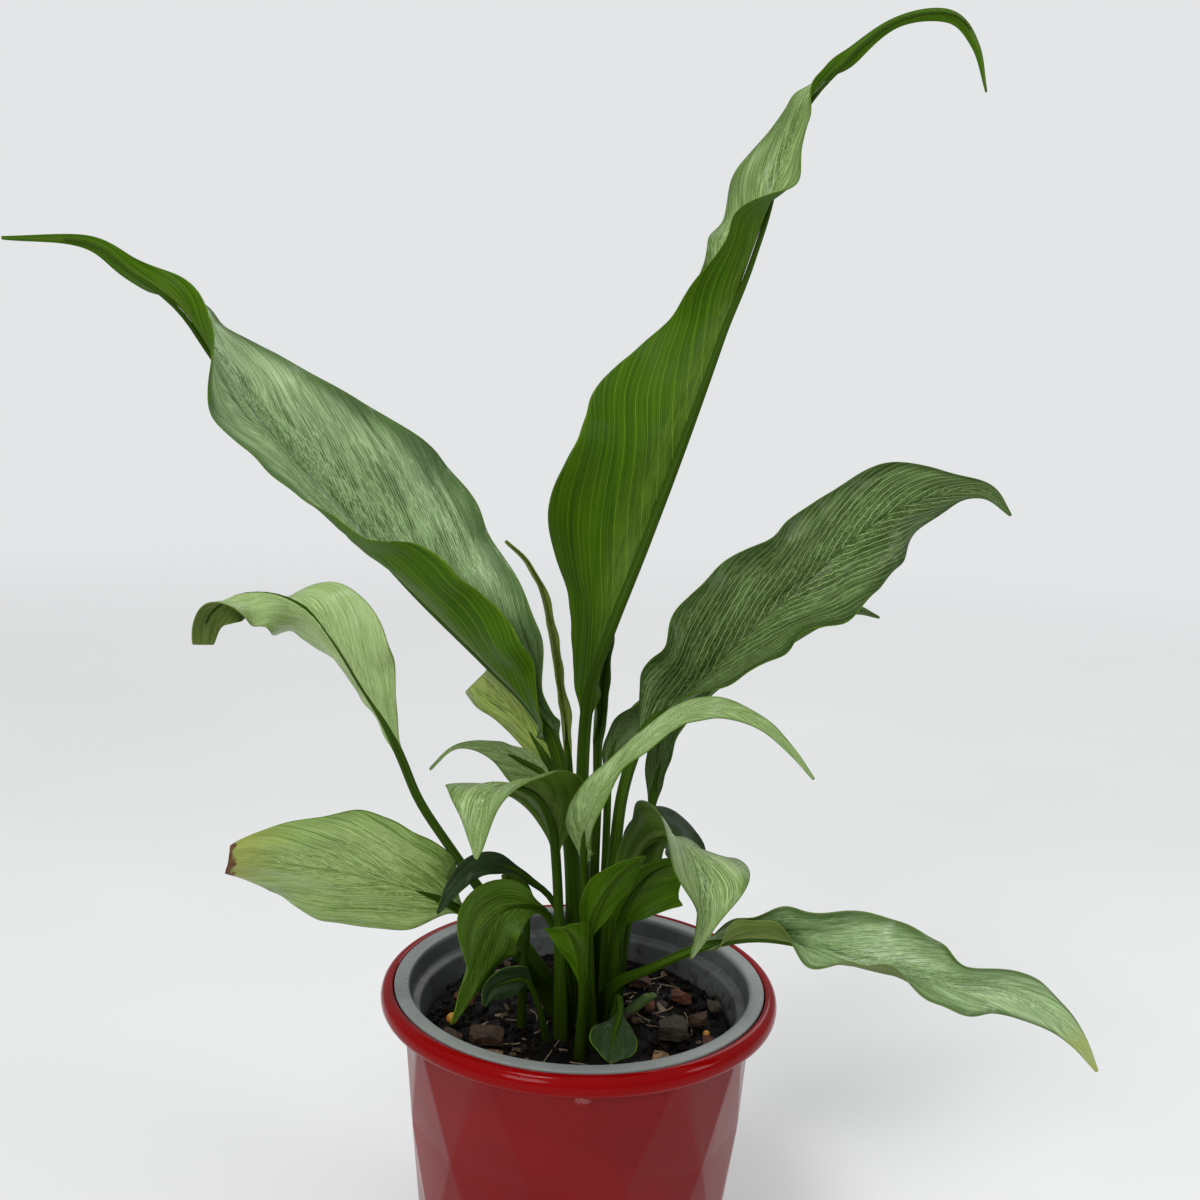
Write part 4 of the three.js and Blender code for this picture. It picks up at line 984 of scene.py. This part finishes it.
def greyFinish():
    finish, tree, place = newFinish("satinGrey")
    parts = splitOf(tree, place)
    cloud = noiseOf(tree, place, 40.0, 4)
    colour = rampOf(tree, cloud, [(0.30, (0.175, 0.190, 0.184)), (0.70, (0.240, 0.258, 0.250))])
    # painted shade: below the flange top the grey turns darker, so the inner wall inside the mouth looks
    # shaded
    low = eased(tree, parts["Z"], 0.1275, 0.1295, 1.0, 0.0)
    colour = blended(tree, low, colour, (0.075, 0.084, 0.082))
    splash = noiseOf(tree, place, 160.0, 5, 0.6)
    soiled = times(tree, eased(tree, parts["Z"], 0.114, 0.1275, 0.9, 0.10),
                   eased(tree, splash, 0.50, 0.66))
    colour = blended(tree, soiled, colour, (0.030, 0.022, 0.014))
    specks = cellsOf(tree, place, 300.0)
    dots = times(tree, eased(tree, specks, 0.10, 0.16, 1.0, 0.0),
                 eased(tree, noiseOf(tree, place, 45.0, 2), 0.52, 0.62))
    colour = blended(tree, times(tree, dots, 0.8), colour, (0.016, 0.012, 0.008))
    scratch = noiseOf(tree, scaled(tree, place, (1.0, 7.0, 1.0)), 120.0, 3)
    gloss = eased(tree, scratch, 0.3, 0.7, 0.36, 0.52)
    fine = noiseOf(tree, place, 900.0, 3)
    setShader(tree, colour, gloss, bumpOf(tree, fine, 0.25, 0.0003), 0.30)
    return finish


# compost: a lumpy bed, loose crumbs, fibres and shards on it

compost = dict(edge=57.6, top=116, drop=1.6, low=6, lowEdge=46.6, ringEvery=1.6,
               crumbs=520, fibres=34, shards=64, seed=7)


def bedHeight(x, y):    # compost level in mm at a place
    reach = math.hypot(x, y)
    level = compost["top"] - compost["drop"] * smooth((reach - 30) / 28)
    lump = 0
    for high, wide, seed in ((0.85, 11, 2), (0.7, 4.2, 5), (0.3, 1.7, 8)):
        lump += high * rough(x / wide, y / wide, 0, seed)
    nearCrown = smooth((reach - 12) / 10)
    return level - 0.5 + lump * mixed(0.4, 1.0, nearCrown)


def addCompost():
    edge = compost["edge"]
    rings = [(r, compost["top"]) for r in (0, *(compost["ringEvery"] * i for i in range(1, 36)), edge)]
    wall = [(edge - 0.3, compost["top"] - 6), (compost["lowEdge"], compost["low"]), (0, compost["low"])]
    bed = turned("bed", [*rings, *wall], 144)
    for vertex in bed.data.vertices:
        x, y, z = vertex.co / mm
        if z > compost["top"] - 1:
            x += 0.5 * rough(x / 2.5, y / 2.5, 3, 4)
            y += 0.5 * rough(x / 2.5, y / 2.5, 7, 4)
            vertex.co = Vector((x, y, bedHeight(x, y))) * mm
    deselectAll()
    rounded(bed)
    dark, light = (0.0005, 0.0003, 0.0002), (0.0045, 0.0024, 0.0010)
    setFinish(bed, compostFinish("darkCompost", dark, light))
    finishPiece(bed, "compost_bed", ["soil"], 60)


def lumpOf(name, rounds, angular, seed):    # one rough lump of radius 1 mm, copied by those that need it
    deselectAll()
    bpy.ops.mesh.primitive_ico_sphere_add(subdivisions=rounds, radius=mm)
    lump = bpy.context.object
    lump.name = name
    for vertex in lump.data.vertices:
        way = vertex.co.normalized()
        size = 1 + 0.35 * rough(*(way * 1.1), seed) + 0.16 * rough(*(way * 2.9), seed + 3)
        flat = Vector([math.copysign(abs(v) ** (1 - angular), v) for v in way])
        vertex.co = flat * size * mm
    return lump


def placedCopy(pattern, place, size, turn):    # its own mesh, put at its place in mm
    piece = pattern.copy()
    piece.data = pattern.data.copy()
    bpy.context.collection.objects.link(piece)
    spin = Matrix.Rotation(turn[2], 4, "Z")
    spin = spin @ Matrix.Rotation(turn[1], 4, "Y") @ Matrix.Rotation(turn[0], 4, "X")
    shape = Matrix.Diagonal((*size, 1))
    piece.data.transform(Matrix.Translation(Vector(place) * mm) @ spin @ shape)
    return piece


def spotOnBed(dice, near=0, far=56):    # an even scatter over the compost
    reach = math.sqrt(dice.uniform(near * near, far * far))
    around = dice.uniform(0, 2 * math.pi)
    return reach * math.cos(around), reach * math.sin(around)


def scatter(name, pattern, count, near, far, sizes, flatness, finish, seed):
    dice = random.Random(seed)
    pieces = []
    for _ in range(count):
        x, y = spotOnBed(dice, near, far)
        size = dice.uniform(*sizes) * dice.uniform(0.6, 1.0)
        high = size * dice.uniform(*flatness)
        turn = (dice.uniform(-0.5, 0.5), dice.uniform(-0.5, 0.5), dice.uniform(0, 6.28))
        level = bedHeight(x, y) + high * 0.35
        pieces.append(placedCopy(pattern, (x, y, level), (size, size * dice.uniform(0.45, 0.9), high), turn))
    bpy.data.objects.remove(pattern, do_unlink=True)
    whole = joined(pieces)
    setFinish(whole, finish)
    finishPiece(whole, name, [], 35)


def addCrumbs():
    crumb = compostFinish("crumb", (0.0010, 0.0006, 0.0003), (0.015, 0.0075, 0.0032))
    scatter("compost_crumbs", lumpOf("crumb", 1, 0.15, 11), compost["crumbs"], 6, 56.5,
            (0.7, 2.7), (0.5, 0.9), crumb, compost["seed"])
    scatter("compost_shards", lumpOf("shard", 2, 0.35, 23), compost["shards"], 16, 55,
            (1.0, 3.4), (0.14, 0.32), shardFinish(), compost["seed"] + 1)


def addFibres():
    dice = random.Random(compost["seed"] + 2)
    runs = [[(-6, -20), (-9, -32), (-14, -44), (-17, -52)]]    # the long one from the stalks to the front
    for _ in range(compost["fibres"]):
        x, y = spotOnBed(dice, 18, 52)
        way = dice.uniform(0, 6.28)
        bend = dice.uniform(-0.7, 0.7)
        run = []
        for _ in range(4):
            run.append((x, y))
            x += 3.2 * math.cos(way)
            y += 3.2 * math.sin(way)
            way += bend
        if math.hypot(x, y) < 56:
            runs.append(run)
    threads = []
    for run in runs:
        deselectAll()
        bpy.ops.curve.primitive_nurbs_path_add()
        thread = bpy.context.object
        spline = thread.data.splines[0]
        spline.points.add(max(0, len(run) - len(spline.points)))
        last = len(run) - 1
        for i, point in enumerate(spline.points):
            x, y = run[min(i, last)]
            point.co = (x * mm, y * mm, (bedHeight(x, y) + 0.7 + 0.5 * math.sin(2.1 * i)) * mm, 1)
        thread.data.bevel_depth = 0.22 * mm
        thread.data.bevel_resolution = 1
        thread.data.resolution_u = 4
        thread.data.use_fill_caps = True
        bpy.ops.object.convert(target="MESH")
        threads.append(bpy.context.object)
    whole = joined(threads)
    setFinish(whole, fibreFinish())
    finishPiece(whole, "root_fibres", [], 60)


def compostFinish(name, dark, light):
    finish, tree, place = newFinish(name)
    grain = noiseOf(tree, place, 620.0, 5, 0.4, 0.65)
    clod = noiseOf(tree, place, 130.0, 3)
    colour = blended(tree, eased(tree, grain, 0.40, 0.72), dark, light)
    colour = blended(tree, eased(tree, clod, 0.52, 0.72, 0.0, 0.55), colour, light)
    damp = eased(tree, clod, 0.35, 0.62, 0.50, 0.88)
    setShader(tree, colour, damp, bumpOf(tree, grain, 0.9, 0.0011), 0.12)
    return finish


def shardFinish():
    finish, tree, place = newFinish("woodShard")
    cells = cellsOf(tree, place, 160.0, "F1", "Color")
    kind = splitOf(tree, cells)["X"]
    colour = rampOf(tree, kind, [(0.15, (0.018, 0.010, 0.005)), (0.45, (0.060, 0.030, 0.014)),
                                 (0.72, (0.150, 0.095, 0.048)), (0.95, (0.30, 0.25, 0.17))])
    grain = noiseOf(tree, scaled(tree, place, (1.0, 4.0, 1.0)), 420.0, 4)
    colour = blended(tree, eased(tree, grain, 0.35, 0.65, 0.55, 0.0), colour, (0.012, 0.007, 0.004))
    setShader(tree, colour, 0.75, bumpOf(tree, grain, 0.6, 0.0006), 0.3)
    return finish


def fibreFinish():
    finish, tree, place = newFinish("paleFibre")
    grain = noiseOf(tree, place, 500.0, 3)
    colour = rampOf(tree, grain, [(0.35, (0.14, 0.095, 0.050)), (0.70, (0.36, 0.28, 0.17))])
    setShader(tree, colour, 0.7, bumpOf(tree, grain, 0.4, 0.0003), 0.3)
    return finish


# bark chips and feed granules

def middleOf(node):    # middle and half size of a node's box
    low, high = (Vector(corner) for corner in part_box(node))
    return (low + high) / 2, (high - low) / 2


barkKinds = dict(
    brown=((0.010, 0.0055, 0.0028), (0.075, 0.036, 0.016)),
    red=((0.022, 0.0065, 0.0030), (0.120, 0.036, 0.015)),
    greyBrown=((0.010, 0.0075, 0.0048), (0.062, 0.048, 0.028)),
    tan=((0.050, 0.026, 0.012), (0.26, 0.15, 0.070)),
)
chipKinds = ["greyBrown", "brown", "red", "tan", "red", "red", "brown", "greyBrown", "brown", "tan", "brown",
             "brown", "tan", "red", "brown", "brown", "tan"]


def barkFinish(name, dark, light):
    finish, tree, place = newFinish(name)
    layers = noiseOf(tree, scaled(tree, place, (1.0, 1.0, 5.0)), 260.0, 5, 0.8, 0.6)
    pits = cellsOf(tree, place, 520.0)
    colour = rampOf(tree, layers, [(0.34, dark), (0.60, light), (0.80, tuple(1.5 * v for v in light))])
    colour = blended(tree, eased(tree, pits, 0.10, 0.35, 0.6, 0.0), colour, dark)
    dull = eased(tree, layers, 0.3, 0.7, 0.62, 0.92)
    setShader(tree, colour, dull, bumpOf(tree, layers, 0.9, 0.0013), 0.3)
    return finish


def addChips():
    finishes = {kind: barkFinish("bark" + kind.capitalize(), *tones) for kind, tones in barkKinds.items()}
    for i, kind in enumerate(chipKinds):
        node = f"bark_chip_{i + 1:02d}"
        middle, half = middleOf(node)
        deselectAll()
        bpy.ops.mesh.primitive_cube_add(size=2)
        chip = bpy.context.object
        editAll()
        bpy.ops.mesh.subdivide(number_cuts=9)
        dice = random.Random(i)
        for _ in range(5):    # broken faces
            way = Vector((dice.uniform(-1, 1), dice.uniform(-1, 1), dice.uniform(-0.5, 1))).normalized()
            bpy.ops.mesh.select_all(action="SELECT")
            bpy.ops.mesh.bisect(plane_co=way * dice.uniform(0.78, 1.0), plane_no=way, use_fill=True,
                                clear_outer=True)
        bpy.ops.object.mode_set(mode="OBJECT")
        for vertex in chip.data.vertices:
            at = vertex.co.copy()
            push = 0.13 * rough(*(at * 1.3), i) + 0.07 * rough(at.x * 3, at.y * 3, at.z * 9, i + 40)
            at *= 0.95 + push
            vertex.co = middle + Vector([clamp(at[k], -1.05, 1.05) * half[k] for k in range(3)])
        editAll()
        bpy.ops.mesh.remove_doubles(threshold=1e-6)
        bpy.ops.mesh.quads_convert_to_tris(quad_method="BEAUTY", ngon_method="BEAUTY")
        closeUp()
        setFinish(chip, finishes[kind])
        finishPiece(chip, f"rough_chip_{i + 1:02d}", [node], 30)


def addGranules():
    finish = granuleFinish()
    for i in range(3):
        node = f"feed_granule_{i + 1}"
        middle, half = middleOf(node)
        deselectAll()
        bpy.ops.mesh.primitive_uv_sphere_add(segments=32, ring_count=20, radius=1)
        ball = bpy.context.object
        for vertex in ball.data.vertices:
            at = vertex.co * (0.97 + 0.05 * rough(*(vertex.co * 1.4), i))
            vertex.co = middle + Vector([at[k] * half[k] for k in range(3)])
        setFinish(ball, finish)
        finishPiece(ball, f"resin_granule_{i + 1}", [node], 60)


def granuleFinish():
    finish, tree, place = newFinish("amberGranule")
    cloud = noiseOf(tree, place, 300.0, 3)
    colour = rampOf(tree, cloud, [(0.35, (0.40, 0.15, 0.012)), (0.65, (0.66, 0.30, 0.030))])
    shine = eased(tree, cloud, 0.3, 0.7, 0.28, 0.5)
    shader = setShader(tree, colour, shine, bumpOf(tree, cloud, 0.3, 0.0004))
    shader.inputs["Subsurface Weight"].default_value = 0.25
    shader.inputs["Subsurface Radius"].default_value = (0.002, 0.0009, 0.0003)
    return finish


# root crown: a lumpy short rhizome with old leaf bases and one cut stub

crown = dict(middle=(1, 2), low=107, high=116.2, radius=15.6)


def addCrown():
    c = crown
    profile = [(0, c["low"]), (9, c["low"]), (14, c["low"] + 3), (c["radius"], 112), (c["radius"], 114),
               (14.6, 115.2), (12, 115.9), (9, c["high"]), (5, c["high"]), (0, c["high"])]
    heart = turned("heart", profile, 64)
    for vertex in heart.data.vertices:
        x, y, z = vertex.co / mm
        scale = 1 - 0.07 * (1 + rough(x / 3.2, y / 3.2, z / 6, 3))
        lift = 0.5 * rough(x / 2.6, y / 2.6, 4, 6) if z > 114 else 0
        vertex.co = Vector((x * scale + c["middle"][0], y * scale + c["middle"][1], z + lift)) * mm
    cut = [(0, 114), (2.9, 114), (2.6, 118), (2.4, 124), (2.5, 127.5), (2.1, 128.4), (1.2, 127.6),
           (0, 127.0)]
    stub = turned("stub", cut, 28)
    for vertex in stub.data.vertices:
        x, y, z = vertex.co / mm
        lean = (z - 114) * 0.80
        high = z + (0.9 * rough(x / 1.4, y / 1.4, 2, 9) if z > 126 else 0)
        vertex.co = Vector((x * 1.15 + 16 + lean, y * 0.85 - 1, mixed(116, high, 0.75))) * mm
    whole = joined([heart, stub])
    deselectAll()
    rounded(whole)
    setFinish(whole, crownFinish())
    finishPiece(whole, "root_crown", ["crown"], 60)


def crownFinish():
    finish, tree, place = newFinish("oldLeafBases")
    bark = noiseOf(tree, scaled(tree, place, (1, 1, 0.4)), 320.0, 4)
    high = splitOf(tree, place)["Z"]
    colour = rampOf(tree, bark, [(0.30, (0.020, 0.013, 0.007)), (0.55, (0.050, 0.042, 0.018)),
                                 (0.80, (0.120, 0.110, 0.045))])
    colour = blended(tree, eased(tree, high, 0.1170, 0.1205), colour, (0.060, 0.115, 0.022))
    colour = blended(tree, eased(tree, high, 0.1262, 0.1276, 0.0, 0.8), colour, (0.22, 0.27, 0.10))
    setShader(tree, colour, eased(tree, bark, 0.3, 0.7, 0.5, 0.8), bumpOf(tree, bark, 0.7, 0.0008), 0.35)
    return finish


# the whole part

addCoverPot()
addNurseryPot()
print("pots made")
addCompost()
addCrumbs()
addFibres()
addCrown()
print("compost and crown made")
addChips()
addGranules()
print("chips and granules made")
for number, leaf in enumerate(leaves):
    addLeaf(leaf, number)
print("leaves made", len(leaves))

addFloor()
setLight()
setCamera()
bpy.context.scene.view_settings.view_transform = "Standard"
print("floor, light and camera set")
